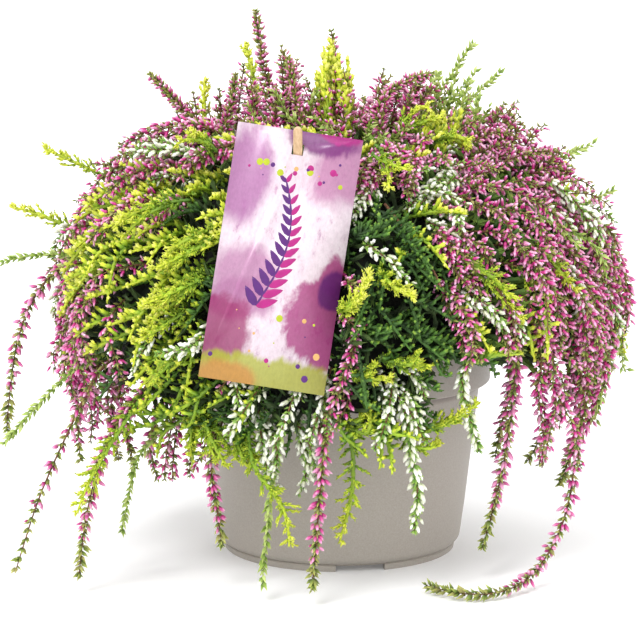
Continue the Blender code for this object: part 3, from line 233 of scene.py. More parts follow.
# Shoots that lie over the crown in places of their own: kind, number, and three points that
# each passes
LAID = (
    ("gold", 2, (20, -90, 68), (38, -93, 70), (51, -88, 80)),
    ("gold", 2, (1, -104, 96), (10, -113, 94), (20, -114, 99)),
    ("gold", 2, (14, -102, 101), (24, -112, 100), (36, -108, 103)),
    ("gold", 2, (0, -98, 76), (7, -107, 75), (13, -108, 84)),
    ("gold", 2, (-4, -102, 122), (3, -117, 124), (10, -118, 134)),
    ("gold", 2, (15, -100, 136), (22, -116, 133), (29, -116, 126)),
    ("gold", 2, (44, -92, 140), (58, -103, 131), (69, -97, 117)),
    ("gold", 1, (-60, -98, 104), (-68, -102, 97), (-77, -98, 89)),
    ("gold", 2, (22, -38, 184), (32, -42, 191), (40, -44, 192)),
    ("gold", 2, (38, -46, 182), (48, -52, 184), (56, -54, 181)),
    ("gold", 2, (14, -76, 182), (18, -84, 177), (23, -88, 170)),
    ("gold", 2, (-50, -62, 176), (-58, -66, 182), (-64, -66, 186)),
    ("deep", 3, (2, -98, 116), (12, -110, 112), (22, -112, 118)),
    ("deep", 3, (22, -94, 118), (32, -104, 112), (42, -102, 106)),
    ("deep", 3, (4, -98, 150), (12, -106, 152), (20, -106, 158)),
    ("deep", 4, (-46, -82, 92), (-42, -92, 76), (-41, -90, 62)),
    ("deep", 4, (-27, -86, 92), (-22, -94, 76), (-22, -91, 62)),
    ("deep", 4, (6, -90, 92), (15, -98, 80), (21, -96, 69)),
    ("deep", 4, (22, -86, 93), (31, -94, 81), (37, -91, 71)),
    ("gold", 3, (-56, -82, 80), (-51, -92, 68), (-45, -91, 59)),
    ("gold", 3, (-43, -87, 76), (-39, -95, 64), (-32, -93, 57)),
    ("gold", 2, (-62, -72, 84), (-62, -84, 72), (-57, -86, 61)),
    ("deep", 2, (8, -92, 76), (14, -98, 68), (20, -95, 66)),
    ("gold", 1, (-74, -70, 92), (-94, -90, 56), (-107, -92, 34)),
    ("gold", 1, (76, -66, 140), (86, -74, 135), (92, -74, 127)),
    ("gold", 1, (66, -74, 135), (76, -81, 129), (83, -80, 122)),
    ("green", 1, (94, -44, 146), (104, -52, 139), (111, -48, 130)),
    ("green", 1, (76, -58, 156), (86, -66, 150), (94, -66, 141)),
    ("rose", 4, (22, -58, 180), (19, -72, 176), (12, -82, 168)),
    ("rose", 4, (32, -58, 178), (30, -72, 173), (25, -83, 164)),
    ("rose", 3, (16, -64, 178), (12, -78, 172), (6, -88, 160)),
    ("rose", 2, (6, -100, 116), (5, -112, 104), (2, -112, 90)),
    ("rose", 2, (3, -104, 98), (1, -111, 86), (-2, -109, 74)),
    ("rose", 1, (0, -100, 142), (4, -110, 138), (8, -113, 131)),
    ("rose", 1, (-2, -102, 124), (3, -112, 119), (7, -113, 110)),
    ("rose", 4, (-50, -28, 180), (-68, -30, 184), (-92, -32, 174)),
    ("rose", 4, (-36, -50, 180), (-50, -58, 177), (-66, -60, 170)),
    ("rose", 3, (-66, -40, 168), (-84, -44, 166), (-98, -42, 156)),
    ("rose", 3, (-74, -48, 160), (-88, -54, 154), (-100, -50, 142)),
    ("rose", 2, (-62, -60, 158), (-72, -68, 152), (-80, -68, 142)),
    ("rose", 1, (80, -26, 86), (84, -32, 62), (86, -32, 38)),
    ("rose", 1, (98, -18, 84), (101, -22, 66), (100, -22, 52)),
    ("deep", 3, (14, -92, 158), (24, -103, 152), (32, -106, 142)),
    ("deep", 3, (20, -96, 146), (30, -106, 140), (36, -106, 130)),
    ("deep", 1, (40, -92, 120), (50, -99, 112), (58, -96, 102)),
    ("deep", 2, (44, -88, 108), (54, -94, 100), (62, -88, 94)),
    ("rose", 4, (38, -92, 150), (46, -102, 142), (52, -103, 130)),
    ("rose", 4, (48, -88, 138), (57, -98, 128), (61, -96, 114)),
    ("rose", 3, (38, -93, 130), (46, -102, 119), (50, -101, 106)),
    ("rose", 3, (58, -82, 126), (67, -90, 115), (70, -86, 101)),
    ("gold", 3, (-48, -84, 150), (-60, -96, 145), (-73, -92, 137)),
    ("gold", 3, (-50, -88, 134), (-62, -99, 128), (-75, -95, 119)),
    ("gold", 2, (-54, -86, 119), (-67, -97, 112), (-79, -91, 102)),
    ("gold", 2, (-62, -74, 160), (-76, -82, 156), (-88, -76, 148)),
    ("green", 2, (106, -18, 98), (112, -26, 82), (108, -28, 66)),
    ("white", 1, (100, -30, 128), (112, -37, 112), (116, -33, 94)),
    ("white", 1, (92, -44, 118), (102, -53, 102), (104, -49, 84)),
    ("white", 1, (84, -50, 136), (95, -60, 124), (99, -58, 108)),
    ("green", 1, (98, -36, 112), (108, -44, 94), (108, -41, 76)),
    ("white", 1, (108, -16, 102), (114, -22, 88), (110, -26, 70)),
    ("rose", 2, (-60, -58, 88), (-66, -68, 66), (-68, -66, 46)),
    ("rose", 2, (-54, -60, 84), (-58, -70, 62), (-60, -66, 46)),
    ("rose", 1, (-70, -54, 84), (-76, -62, 68), (-80, -60, 58)),
    ("gold", 1, (25, -86, 72), (33, -91, 65), (41, -88, 66)),
    ("white", 1, (-42, -87, 90), (-38, -97, 79), (-38, -95, 67)),
    ("white", 1, (-34, -89, 88), (-29, -98, 68), (-28, -93, 43)),
    ("white", 2, (-19, -91, 88), (-16, -99, 71), (-15, -94, 57)),
    ("white", 1, (-14, -93, 70), (-12, -97, 52), (-12, -93, 38)),
    ("white", 2, (-32, -94, 78), (-27, -101, 64), (-25, -97, 50)),
    ("white", 1, (-20, -94, 76), (-15, -101, 66), (-14, -97, 52)),
    ("white", 2, (10, -93, 99), (18, -103, 93), (25, -104, 79)),
    ("white", 2, (18, -91, 100), (28, -101, 95), (36, -99, 83)),
    ("white", 2, (16, -94, 92), (26, -103, 84), (33, -100, 71)),
    ("white", 4, (47, -58, 168), (41, -71, 166), (30, -82, 155)),
    ("white", 2, (14, -76, 168), (10, -90, 163), (6, -99, 152)),
    ("white", 1, (8, -98, 146), (19, -114, 143), (31, -112, 135)),
    ("white", 1, (84, -38, 163), (97, -42, 154), (107, -40, 141)),
    ("white", 1, (90, -34, 156), (104, -38, 147), (111, -36, 133)),
    ("white", 1, (84, -42, 152), (96, -48, 143), (104, -46, 130)),
    ("white", 2, (46, -94, 126), (56, -104, 121), (67, -99, 111)),
    ("white", 2, (36, -84, 152), (44, -94, 149), (53, -92, 142)),
    ("white", 3, (-54, -38, 172), (-70, -42, 180), (-86, -43, 175)),
    ("white", 2, (-46, -96, 114), (-56, -107, 109), (-68, -103, 99)),
)
LAID_SPREAD = ((2.4,), (3.0,), (5.0,))
CURVE_POINTS = 12
# Bare woody stems that lie over the crown, by the points that they pass
TWIGS = (
    ((18, -84, 160), (23, -93, 155), (29, -103, 146), (37, -108, 137), (40, -112, 130)),
    ((50, -90, 142), (59, -103, 133), (65, -102, 125), (70, -99, 116)),
)
# Azimuths between which the lowest shoots hang loose and the width over which that fades, how
# far below the hem they may reach, the share of them that is left out, and the rise of the
# hearts' edge there
LOOSE_SIDES = ((-178.0, -148.0), (-50.0, 12.0))
LOOSE_FADE = 10.0
LOOSE_DROP = 36.0
LOOSE_GAPS = 0.46
LOOSE_LIFT = 15.0
LOOSE_BELOW = 8.0
# Single sprays unlike the others: distance between their whorls and size of their buds, as shares
SPRAY_SHARES = {
    "spray_curling": (1.3, 1.0),
    "spray_left_front_long": (1.8, 0.95),
    "spray_left_long": (1.15, 1.0),
    "spray_top_left": (0.55, 0.74),
    "spray_crown_left": (0.62, 0.74),
    "spray_crown_front": (0.62, 0.74),
    "spray_arch": (0.5, 0.72),
    "spray_tall_spike": (0.72, 0.82),
}
# Of each kind of shoot: the record's slot, the finishes in the order of their numbers, and the
# numbers of those whose facets stay crisp, as on leaves
KINDS = {
    "rose": ("rose", ("rose petal", "rose leaf", "bark"), (1,)),
    "white": ("white", ("white petal", "white leaf", "bark"), (1,)),
    "gold": ("gold", ("gold scales",), ()),
    "deep": ("green", ("deep scales",), ()),
    "green": ("green", ("green leaf",), (0,)),
}
SPRAY_SEED = 61
# Least height of any part of a spray, so that the ones that lie down don't touch the floor's plane
ABOVE_FLOOR = 0.15

# Where each heather shows at the front: patches as azimuth, crown angle and reach
PATCHES = {
    "gold": (
        (-153, 26, 14), (-146, 40, 10), (-148, 52, 7), (-168, 63, 7), (-132, 62, 7),
        (-127, 38, 12), (-119, 42, 9), (-134, 20, 13), (-120, 22, 12), (-139, 3, 11),
        (-123, 8, 13), (-124, -4, 13), (-129, -16, 11), (-119, -23, 12), (-114, -39, 12),
        (-75, 59, 6), (-88, -22, 8), (-81, -34, 9), (-70, -24, 7), (-56, 13, 6), (-45, 1, 6),
        (-95, 70, 6), (-160, 8, 6), (-104, 40, 7), (-78, 40, 4), (-66, 52, 4), (-73, 28, 4),
        (-60, -10, 5), (-66, 8, 4),
    ),
    "rose": (
        (-141, 28, 6), (-138, 9, 6), (-148, -4, 10), (-160, -22, 16), (-175, -8, 14),
        (-178, 22, 12), (-170, 44, 8), (-144, -34, 12), (-45, 62, 13), (-50, 33, 12),
        (-39, 28, 13), (-10, 19, 15), (-67, 24, 7), (-55, 18, 9), (-40, 10, 12),
        (-14, 5, 16), (-67, 9, 6), (-60, 3, 8), (-40, -9, 12), (-23, -4, 14),
        (-50, -19, 12), (-28, -34, 18), (-100, 78, 13), (-40, 80, 20), (-158, 74, 10),
        (-76, 46, 5), (-105, -38, 4), (-20, 44, 13), (-118, 62, 5),
    ),
    "white": (
        (-48, 57, 5), (-62, 45, 7), (-67, 40, 6), (-84, 43, 5), (-79, 26, 5), (-62, 31, 4),
        (-8, 22, 7), (-61, 13, 5), (-57, 9, 4), (-98, -11, 6), (-92, -20, 5), (-103, -20, 5),
        (-78, -13, 4), (-72, -22, 5), (-128, -3, 4), (-122, 0, 4), (-112, -9, 4),
        (-156, 58, 5), (-150, 45, 4),
    ),
    "deep": (
        (-89, 43, 5), (-82, 33, 8), (-80, 8, 10), (-74, 2, 8), (-86, 10, 8), (-70, 14, 7),
        (-47, 26, 5), (-110, 11, 8), (-115, 0, 7), (-131, 30, 5), (-142, -14, 6),
        (-90, -10, 7), (-66, -10, 8), (-30, 12, 4), (-122, 47, 4), (-80, -8, 9), (-74, -14, 7),
        (-84, 18, 8), (-46, 4, 4), (-28, -4, 3), (-40, 20, 4), (-100, -24, 5), (-110, -26, 5),
    ),
    "green": (
        (-68, 62, 8), (-50, 70, 7), (-100, 72, 6), (-86, -30, 5), (-100, -32, 6), (-166, 10, 5),
        (-8, -12, 6), (-45, -28, 6), (-155, -30, 6),
    ),
}
# The back's patches fall by chance: how many of each heather there are, and the limits of their
# azimuth, crown angle and reach
BACK_PATCHES = (("rose", 15), ("gold", 9), ("white", 7), ("deep", 4), ("green", 4))
BACK_AZIMUTHS = (2.0, 178.0)
BACK_ANGLES = (-40.0, 68.0)
BACK_REACH = (8.0, 15.0)
# Shares of shoots and of inner twigs that are kept at the back, and how much fuller its shoots
# are beyond a depth behind the pot's axis
BACK_SHOOTS = 0.47
BACK_TWIGS = 0.55
BACK_FULLNESS = 1.18
FULLER_BEHIND = 20.0
# Strength with which a kind of heather grows anywhere, and the spread by chance of all strengths
LEAST_SCORES = {"rose": 0.16, "green": 0.07, "deep": 0.05}
SCORE_SPREAD = 0.28
PATCH_SEED = 5
SHOWN_BELOW_ROOT = 11.0

# Stage. The floor's size and how far the camera sees are in metres
FLOOR_SIZE = 12.0
SEEN_AS_FAR_AS = 30.0
CAMERA_DISTANCE = 1234.0
CAMERA_HEIGHT = 308.0
CAMERA_DIP = 9.5
CAMERA_TURN = 0.39
LENS = 163.4
SENSOR_WIDTH = 36.0
# Lamps: name, the way to it, how wide it looks from here, and its share of the key lamp's strength
LAMPS = (
    ("key lamp", (-0.55, -1.0, 1.25), 28.0, 1.0),
    ("fill lamp", (1.3, -0.7, 0.9), 60.0, 0.4),
    ("back lamp", (0.2, 1.3, 1.6), 60.0, 0.5),
)


# Small sums


def linear(colour):
    """An sRGB hex colour as linear red, green and blue."""
    shares = [int(colour[k : k + 2], 16) / 255.0 for k in (1, 3, 5)]
    return tuple(s / 12.92 if s <= 0.04045 else ((s + 0.055) / 1.055) ** 2.4 for s in shares)


def unit(vectors):
    """The same vectors at length 1."""
    return vectors / (np.linalg.norm(vectors, axis=-1, keepdims=True) + 1e-12)


def smooth_step(values):
    """0 below 0, 1 above 1 and a smooth rise between."""
    t = np.clip(values, 0.0, 1.0)
    return t * t * (3.0 - 2.0 * t)


def about_axis(radius, azimuth, height):
    """Points from cylinder coordinates about the pot's axis."""
    angle = np.radians(azimuth)
    across = radius * np.cos(angle)
    return np.stack([across, radius * np.sin(angle), height + 0.0 * across], axis=-1)


def turn_about(axis, degrees):
    """Rotation matrix about X, Y or Z."""
    c, s = math.cos(math.radians(degrees)), math.sin(math.radians(degrees))
    first, second = [k for k in range(3) if k != axis]
    sign = -1.0 if axis == 1 else 1.0
    matrix = np.eye(3)
    matrix[first, first] = matrix[second, second] = c
    matrix[first, second] = -s * sign
    matrix[second, first] = s * sign
    return matrix


LABEL_TURN = turn_about(0, -LABEL_LEAN) @ turn_about(1, LABEL_ROLL)


def label_coordinates(points):
    """Points as seen from the label: across, through (positive is behind it) and up."""
    return (points - LABEL_CENTRE) @ LABEL_TURN


def from_label(across, through, up):
    """Points given in the label's own axes."""
    return np.stack(np.broadcast_arrays(across, through, up), axis=-1) @ LABEL_TURN.T + LABEL_CENTRE


# Crown


def crown_waves(azimuth, angle, radius):
    """Slow waves that stand for tufts: seven broad ones around the crown and eleven narrow ones.

    The broad ones lean one way as they go down, and the narrow ones the other way.
    """
    a, t = np.radians(azimuth), np.radians(angle)
    wave = BROAD_WAVE * np.sin(7 * a + 1.0 + 2 * t) + NARROW_WAVE * np.sin(11 * a - 5 * t)
    return wave * np.clip(radius / WAVES_FADE_INSIDE, 0.0, 1.0)


def skirt_depth(azimuth):
    """Depth of the crown below its widest level, less where the skirt opens at the front right."""
    swing = np.cos(np.radians(azimuth - SKIRT_LOW_AZIMUTH))
    opening = np.exp(-(((azimuth - OPENING_AZIMUTH) / OPENING_WIDTH) ** 4))
    return SKIRT_DEPTH + SKIRT_DEPTH_SWING * swing - OPENING_RISE * opening


def looseness(azimuth):
    """1 where the lowest shoots hang loose, 0 elsewhere, with smooth ends."""
    share = 0.0 * azimuth
    for first, last in LOOSE_SIDES:
        inside = np.minimum(azimuth - first, last - azimuth) / LOOSE_FADE + 1.0
        share = np.maximum(share, smooth_step(inside))
    return share


def heart_edge(azimuth):
    """Lowest height of the bushes' hearts, from which the lowest shoots hang."""
    return CROWN_LEVEL - HEART_DEPTH + LOOSE_LIFT * looseness(azimuth)


def crown_surface(azimuth, angle, inset=0.0):
    """Points of the crown: superellipses as upright sections, slow waves, and less an inset."""
    t = np.radians(angle)
    upper = t > 0.0
    power = 2.0 / np.where(upper, CROWN_ROUNDNESS, SKIRT_ROUNDNESS)
    reach = np.where(upper, CROWN_RISE, skirt_depth(azimuth))
    radius = CROWN_RADIUS * np.abs(np.cos(t)) ** power
    height = CROWN_LEVEL + np.sign(t) * reach * np.abs(np.sin(t)) ** power
    wave = crown_waves(azimuth, angle, radius) - inset
    radius = radius + wave * np.cos(t)
    return about_axis(radius, azimuth, height + wave * np.maximum(np.sin(t), 0.0))


def crown_place(points):
    """Azimuth, crown angle, height above the crown and outward direction of points near it."""
    radius = np.linalg.norm(points[..., :2], axis=-1)
    azimuth = np.degrees(np.arctan2(points[..., 1], points[..., 0]))
    rise = points[..., 2] - CROWN_LEVEL
    upper = rise > 0.0
    power = np.where(upper, CROWN_ROUNDNESS, SKIRT_ROUNDNESS)
    depth = skirt_depth(azimuth)
    reach = np.where(upper, CROWN_RISE, depth)
    rise = np.maximum(rise, -SKIRT_READ_TO * depth)
    share = np.abs(rise) / reach
    size = ((radius / CROWN_RADIUS) ** power + share**power) ** (1.0 / power) + 1e-9
    lean = np.clip(share / size, 0.0, 1.0) ** (power / 2.0)
    angle = np.degrees(np.arcsin(lean)) * np.where(upper, 1.0, -1.0)
    out = power / CROWN_RADIUS * (radius / CROWN_RADIUS) ** (power - 1.0)
    up = power / reach * share ** (power - 1.0) * np.sign(rise)
    up = np.where(points[..., 2] < CROWN_LEVEL - SKIRT_UPRIGHT_FROM * depth, 0.0, up)
    radial = points[..., :2] / (radius[..., None] + 1e-9)
    normal = unit(np.concatenate([radial * out[..., None], up[..., None]], axis=-1))
    middle = np.sqrt(radius**2 + rise**2)
    height = middle * (1.0 - 1.0 / size) - crown_waves(azimuth, angle, radius)
    return azimuth, angle, height, normal


def behind_label(points, clearance, margin):
    """Points that would come through the label, or close to it, moved behind it."""
    across, through, up = np.moveaxis(label_coordinates(points), -1, 0)
    inside = (np.abs(across) < LABEL_WIDTH / 2 + margin) & (np.abs(up) < LABEL_HEIGHT / 2 + margin)
    push = np.where(inside, np.maximum(clearance - through, 0.0), 0.0)
    return points + push[..., None] * LABEL_TURN[:, 1]


def heather_scores(azimuth, angle):
    """How strongly each kind of heather holds each place, as kind to an array.

    A patch holds a place by a bell curve of the distance from its middle over its reach.
    """
    rng = np.random.default_rng(PATCH_SEED)
    patches = {kind: list(places) for kind, places in PATCHES.items()}
    for kind, count in BACK_PATCHES:
        around = rng.uniform(*BACK_AZIMUTHS, count)
        along = rng.uniform(*BACK_ANGLES, count)
        patches[kind] += list(zip(around, along, rng.uniform(*BACK_REACH, count)))
    scores = {}
    for kind, places in patches.items():
        where = np.array(places, float)
        turn = (azimuth[:, None] - where[None, :, 0] + 180.0) % 360.0 - 180.0
        turn = turn * np.cos(np.radians(0.5 * (angle[:, None] + where[None, :, 1])))
        away = np.hypot(turn, 0.8 * (angle[:, None] - where[None, :, 1])) / where[None, :, 2]
        scores[kind] = np.exp(-(away**2)).max(axis=1)
    for kind, least in LEAST_SCORES.items():
        scores[kind] = np.maximum(scores[kind], least)
    return scores


# Meshes


class Growth:
    """Points and triangles of one piece as they grow, each with its finish and tint.

    A point's tint is a random share for its bud or leaf, its share along that bud or leaf, and
    the share along the shoot.
    """

    def __init__(self):
        self.points = []
        self.faces = []
        self.finishes = []
        self.tints = []
        self.count = 0

    def add(self, points, faces, finish, tints):
        """Adds arrays of points, triangles counted from the first of them, and tints."""
        self.points.append(points.reshape(-1, 3))
        self.faces.append(faces.reshape(-1, 3) + self.count)
        self.finishes.append(np.full(faces.size // 3, finish))
        self.tints.append(tints.reshape(-1, 3))
        self.count += points.size // 3

    def add_copies(self, points, faces, finish, tints):
        """Adds copies of one shape: an array of points for each, and the triangles of one."""
        numbers = faces[None] + (np.arange(len(points)) * points.shape[1])[:, None, None]
        self.add(points, numbers, finish, tints)


def make_piece(name, growth, finishes, replaced=(), flat=()):
    """One mesh object from a growth: placed in the frame, riding on the root, with its finishes."""
    points = np.vstack(growth.points)
    faces = np.vstack(growth.faces)
    finish = np.concatenate(growth.finishes)
    mesh = bpy.data.meshes.new(name)
    mesh.vertices.add(len(points))
    mesh.vertices.foreach_set("co", ((points + AXIS) * MM).astype(np.float32).ravel())
    mesh.loops.add(faces.size)
    mesh.loops.foreach_set("vertex_index", faces.astype(np.int32).ravel())
    mesh.polygons.add(len(faces))
    mesh.polygons.foreach_set("loop_start", np.arange(0, faces.size, 3, dtype=np.int32))
    mesh.polygons.foreach_set("material_index", finish.astype(np.int32))
    mesh.polygons.foreach_set("use_smooth", ~np.isin(finish, flat))
    tints = np.vstack(growth.tints)
    colours = np.hstack([tints, np.ones((len(tints), 1))]).astype(np.float32)
    attribute = mesh.attributes.new("growth", "FLOAT_COLOR", "POINT")
    attribute.data.foreach_set("color", colours.ravel())
    mesh.update()
    for made in finishes:
        mesh.materials.append(made)
    piece = bpy.data.objects.new(name, mesh)
    bpy.context.scene.collection.objects.link(piece)
    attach(piece, "root")
    if replaced:
        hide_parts(*replaced)
    return piece


def bud_shape(sides, heights, radii):
    """A closed bud of length 1: rings of the given radii at shares of its length, and two poles."""
    count = len(heights)
    turn = 2.0 * np.pi * (np.arange(sides)[None, :] + 0.5 * (np.arange(count)[:, None] % 2)) / sides
    radius = np.array(radii)[:, None]
    level = np.broadcast_to(np.array(heights)[:, None], turn.shape)
    rings = np.stack([radius * np.cos(turn), radius * np.sin(turn), level], axis=-1)
    points = np.vstack([[0.0, 0.0, 0.0], rings.reshape(-1, 3), [0.0, 0.0, 1.0]])
    return points, closed_faces(count, sides)


def closed_faces(count, sides, crossed=False):
    """Triangles of a closed tube of count rings between two poles.

    Crossed squares are split between their low corners, where every other corner is raised.
    """
    here = 1 + np.arange(count - 1)[:, None] * sides + np.arange(sides)[None, :]
    beside = 1 + np.arange(count - 1)[:, None] * sides + (np.arange(sides)[None, :] + 1) % sides
    above, across = here + sides, beside + sides
    raised = (np.arange(count - 1)[:, None] + np.arange(sides)[None, :]) % 2 == 0
    first = np.stack([here, beside, across], axis=-1)
    second = np.stack([here, across, above], axis=-1)
    if crossed:
        first = np.where(raised[..., None], np.stack([here, beside, above], axis=-1), first)
        second = np.where(raised[..., None], np.stack([beside, across, above], axis=-1), second)
    last = 1 + (count - 1) * sides
    around = np.arange(sides)
    bottom = np.stack([0 * around, 1 + (around + 1) % sides, 1 + around], axis=-1)
    pole = last + sides + 0 * around
    top = np.stack([pole, last + around, last + (around + 1) % sides], axis=-1)
    return np.vstack([first.reshape(-1, 3), second.reshape(-1, 3), bottom, top])


def spread_tints(chance, share, along, shape):
    """Tints of many copies: a random share, the shares along a copy, and its place on the shoot."""
    parts = (np.asarray(chance)[:, None], share[None], np.asarray(along)[:, None])
    return np.stack([np.broadcast_to(part, shape) for part in parts], axis=-1)


def scatter(growth, shape, finish, places, forward, lengths, widths, rng, along):
    """Copies of a bud shape: each at its place, pointing forward, turned by chance about itself."""
    points, faces = shape
    count = len(places)
    if count == 0:
        return
    forward = unit(forward)
    side = unit(np.cross(forward, rng.normal(size=(count, 3))))
    other = np.cross(forward, side)
    half = 0.5 * np.asarray(widths)[:, None]
    axes = np.stack([side * half, other * half, forward * np.asarray(lengths)[:, None]], axis=-1)
    placed = np.einsum("nij,tj->nti", axes, points) + places[:, None, :]
    chance = rng.uniform(0.0, 1.0, count)
    tints = spread_tints(chance, points[:, 2], along, placed.shape[:2])
    growth.add_copies(placed, faces, finish, tints)


def carried_frames(routes):
    """Directions along many routes, and two at right angles that turn as little as they can."""
    ahead = unit(np.gradient(routes, axis=1))
    side = np.empty_like(ahead)
    helper = np.where(np.abs(ahead[:, 0, 2:]) < 0.8, [[0.0, 0.0, 1.0]], [[1.0, 0.0, 0.0]])
    side[:, 0] = unit(np.cross(ahead[:, 0], helper))
    for step in range(1, routes.shape[1]):
        last = side[:, step - 1]
        lean = np.sum(last * ahead[:, step], axis=-1, keepdims=True)
        side[:, step] = unit(last - lean * ahead[:, step])
    return ahead, side, np.cross(ahead, side)


def sweep(growth, routes, radii, finish, sides, chance, along, lean=None):
    """Closed tubes along many routes with the same number of points.

    radii has one value for each point, or one for each corner, and lean moves corners forward.
    """
    ahead, side, other = carried_frames(routes)
    turn = 2.0 * np.pi * np.arange(sides) / sides
    around = side[:, :, None] * np.cos(turn)[:, None] + other[:, :, None] * np.sin(turn)[:, None]
    crossed = radii.ndim == 3
    radii = radii if crossed else radii[:, :, None]
    rings = routes[:, :, None] + around * radii[..., None]
    if lean is not None:
        rings = rings + ahead[:, :, None] * lean[..., None]
    count, steps = routes.shape[:2]
    points = np.concatenate([routes[:, :1], rings.reshape(count, -1, 3), routes[:, -1:]], axis=1)
    share = np.linspace(0.0, 1.0, steps)
    share = np.concatenate([[0.0], np.repeat(share, sides), [1.0]])
    tints = spread_tints(chance, share, along, points.shape[:2])
    growth.add_copies(points, closed_faces(steps, sides, crossed), finish, tints)


def even_route(route, spacing):
    """The same line with its points at even distances of about the spacing."""
    walked = np.concatenate([[0.0], np.cumsum(np.linalg.norm(np.diff(route, axis=0), axis=1))])
    count = max(int(round(walked[-1] / spacing)), 4) + 1
    even = np.linspace(0.0, walked[-1], count)
    return np.stack([np.interp(even, walked, route[:, axis]) for axis in range(3)], axis=1)


def rounded_route(route, spacing):
    """A route whose corners are rounded twice by cutting them at a quarter of each run."""
    for _ in range(2):
        near = 0.75 * route[:-1] + 0.25 * route[1:]
        far = 0.25 * route[:-1] + 0.75 * route[1:]
        middle = np.stack([near, far], axis=1).reshape(-1, 3)
        route = np.vstack([route[:1], middle, route[-1:]])
    return even_route(route, spacing)


class Stem:
    """A route with its directions, read at any distance from its root."""

    def __init__(self, route):
        self.route = route
        ahead, side, other = carried_frames(route[None])
        self.frames = np.hstack([route, ahead[0], side[0], other[0]])
        steps = np.linalg.norm(np.diff(route, axis=0), axis=1)
        self.walked = np.concatenate([[0.0], np.cumsum(steps)])
        self.length = self.walked[-1]

    def at(self, distances, turn):
        """Places at distances along the stem, the way ahead, and the way out at each turn."""
        values = [np.interp(distances, self.walked, self.frames[:, k]) for k in range(12)]
        place, ahead, side, other = np.split(np.array(values).T, 4, axis=1)
        out = side * np.cos(turn)[:, None] + other * np.sin(turn)[:, None]
        return place, unit(ahead), unit(out)


# Shapes of buds and leaves. A heather's bud is an ovoid with a pointed tip
FINE_BUD = bud_shape(5, (0.10, 0.40, 0.76), (0.58, 1.04, 0.68))
FAR_BUD = bud_shape(4, (0.26, 0.70), (0.95, 0.88))
LEAF = bud_shape(3, (0.38,), (1.0,))

# A flowering stem of a single spray and one of the crown's mass: shape of a bud, crowding of the
# whorls, spread of buds along the stem, leaves in a tuft, distance between tufts as a share of
# that between whorls, and size of the leaves
NEAR = {"bud": FINE_BUD, "crowd": 1.15, "spread": 0.11, "leaves": 6, "tufts": 0.5, "leaf": 1.25}
FAR = {"bud": FAR_BUD, "crowd": 0.76, "spread": 0.17, "leaves": 4, "tufts": 0.72, "leaf": 1.15}
# Turn from each leaf or side shoot to the next, as plants have it, and a leaf's width as a share
GOLDEN_TURN = 2.0 * np.pi * 0.382
LEAF_WIDTH = 0.42
BUD_SAG = 0.16
BUDS_SHRINK_OVER = 16.0
TIP_BUD = 0.65

# How each flower sits on its stem: distance between whorls, buds in a whorl, the range of angles
# from the stem, a bud's length and width as shares of the flowers' settings, and its size in
# the crown as a share of that on a single spray
FLOWERS = {
    "rose": {"step": 4.6, "each": 5.2, "angle": (34.0, 78.0), "size": (0.9, 0.86), "mass": 1.02},
    "white": {"step": 3.6, "each": 3.4, "angle": (24.0, 50.0), "size": (1.0, 1.05), "mass": 1.0},
}


def flowering_stem(growth, stem, kind, size, rng, fine, bare, tail, loose=1.0, small=1.0):
    """Buds in loose whorls along a stem, with a tuft of leaves at the foot of each whorl.

    Whorls follow each other at an even distance with some chance in it. Buds stand out from the
    stem and sag a little. Near the tip leaves take the buds' place for the tail's length.
    """
    rule = FLOWERS[kind]
    detail = NEAR if fine else FAR
    share = small if fine else small * rule["mass"]
    step, each = rule["step"] * loose, rule["each"] * detail["crowd"] / loose**0.5
    end = max(stem.length - tail, bare + step)
    count = max(int((end - bare) / step * each), 3)
    whorl = np.floor(np.arange(count) / each)
    distance = bare + whorl * step + rng.normal(0.0, detail["spread"] * step / loose, count)
    distance = np.clip(distance, 0.0, stem.length - 0.5)
    turn = 2.0 * np.pi * (np.arange(count) / each + 0.31 * whorl) + rng.normal(0.0, 0.45, count)
    place, ahead, out = stem.at(distance, turn)
    lean = np.radians(rng.uniform(*rule["angle"], count))[:, None]
    forward = ahead * np.cos(lean) + out * np.sin(lean) - BUD_SAG * UP
    fade = np.clip((end - distance) / BUDS_SHRINK_OVER, 0.0, 1.0) * (1.0 - TIP_BUD) + TIP_BUD
    lengths = rule["size"][0] * share * size.bud_length / MM * rng.uniform(0.72, 1.14, count) * fade
    wider = share if fine else 0.5 + 0.5 * share
    widths = rule["size"][1] * wider * size.bud_width / MM * rng.uniform(0.84, 1.14, count) * fade
    place = place + out * rng.uniform(0.6, 1.5, (count, 1))
    scatter(growth, detail["bud"], 0, place, forward, lengths, widths, rng, distance / stem.length)
    tufts = np.arange(0.4 * bare, stem.length, step * detail["tufts"])
    leafy = len(tufts) * detail["leaves"]
    distance = np.repeat(tufts, detail["leaves"]) + rng.normal(0.0, 0.5, leafy)
    distance = np.minimum(distance, stem.length - 1.2)
    turn = GOLDEN_TURN * np.arange(leafy) + rng.normal(0.0, 0.3, leafy)
    place, ahead, out = stem.at(np.clip(distance, 0.0, stem.length), turn)
    forward = ahead * 0.7 + out * rng.uniform(0.5, 1.3, (leafy, 1))
    longer = (1.0 + 0.3 * (distance > end) * (tail > 2.0)) * detail["leaf"]
    longer = longer * (0.6 + 0.4 * np.clip((stem.length - distance) / 6.0, 0.0, 1.0))
    lengths = size.leaf_length / MM * rng.uniform(0.75, 1.25, leafy) * longer
    widths = LEAF_WIDTH * lengths
    scatter(growth, LEAF, 1, place, forward, lengths, widths, rng, distance / stem.length)


# Side shoots of a plume: angle from the stem, points of each, and the needles on a fine one
SIDE_SHOOT_ANGLE = 46.0
SIDE_SHOOT_POINTS = 5
NEEDLES = 8
NEEDLE_LENGTH = 2.9
SCALE_STEP = 1.3


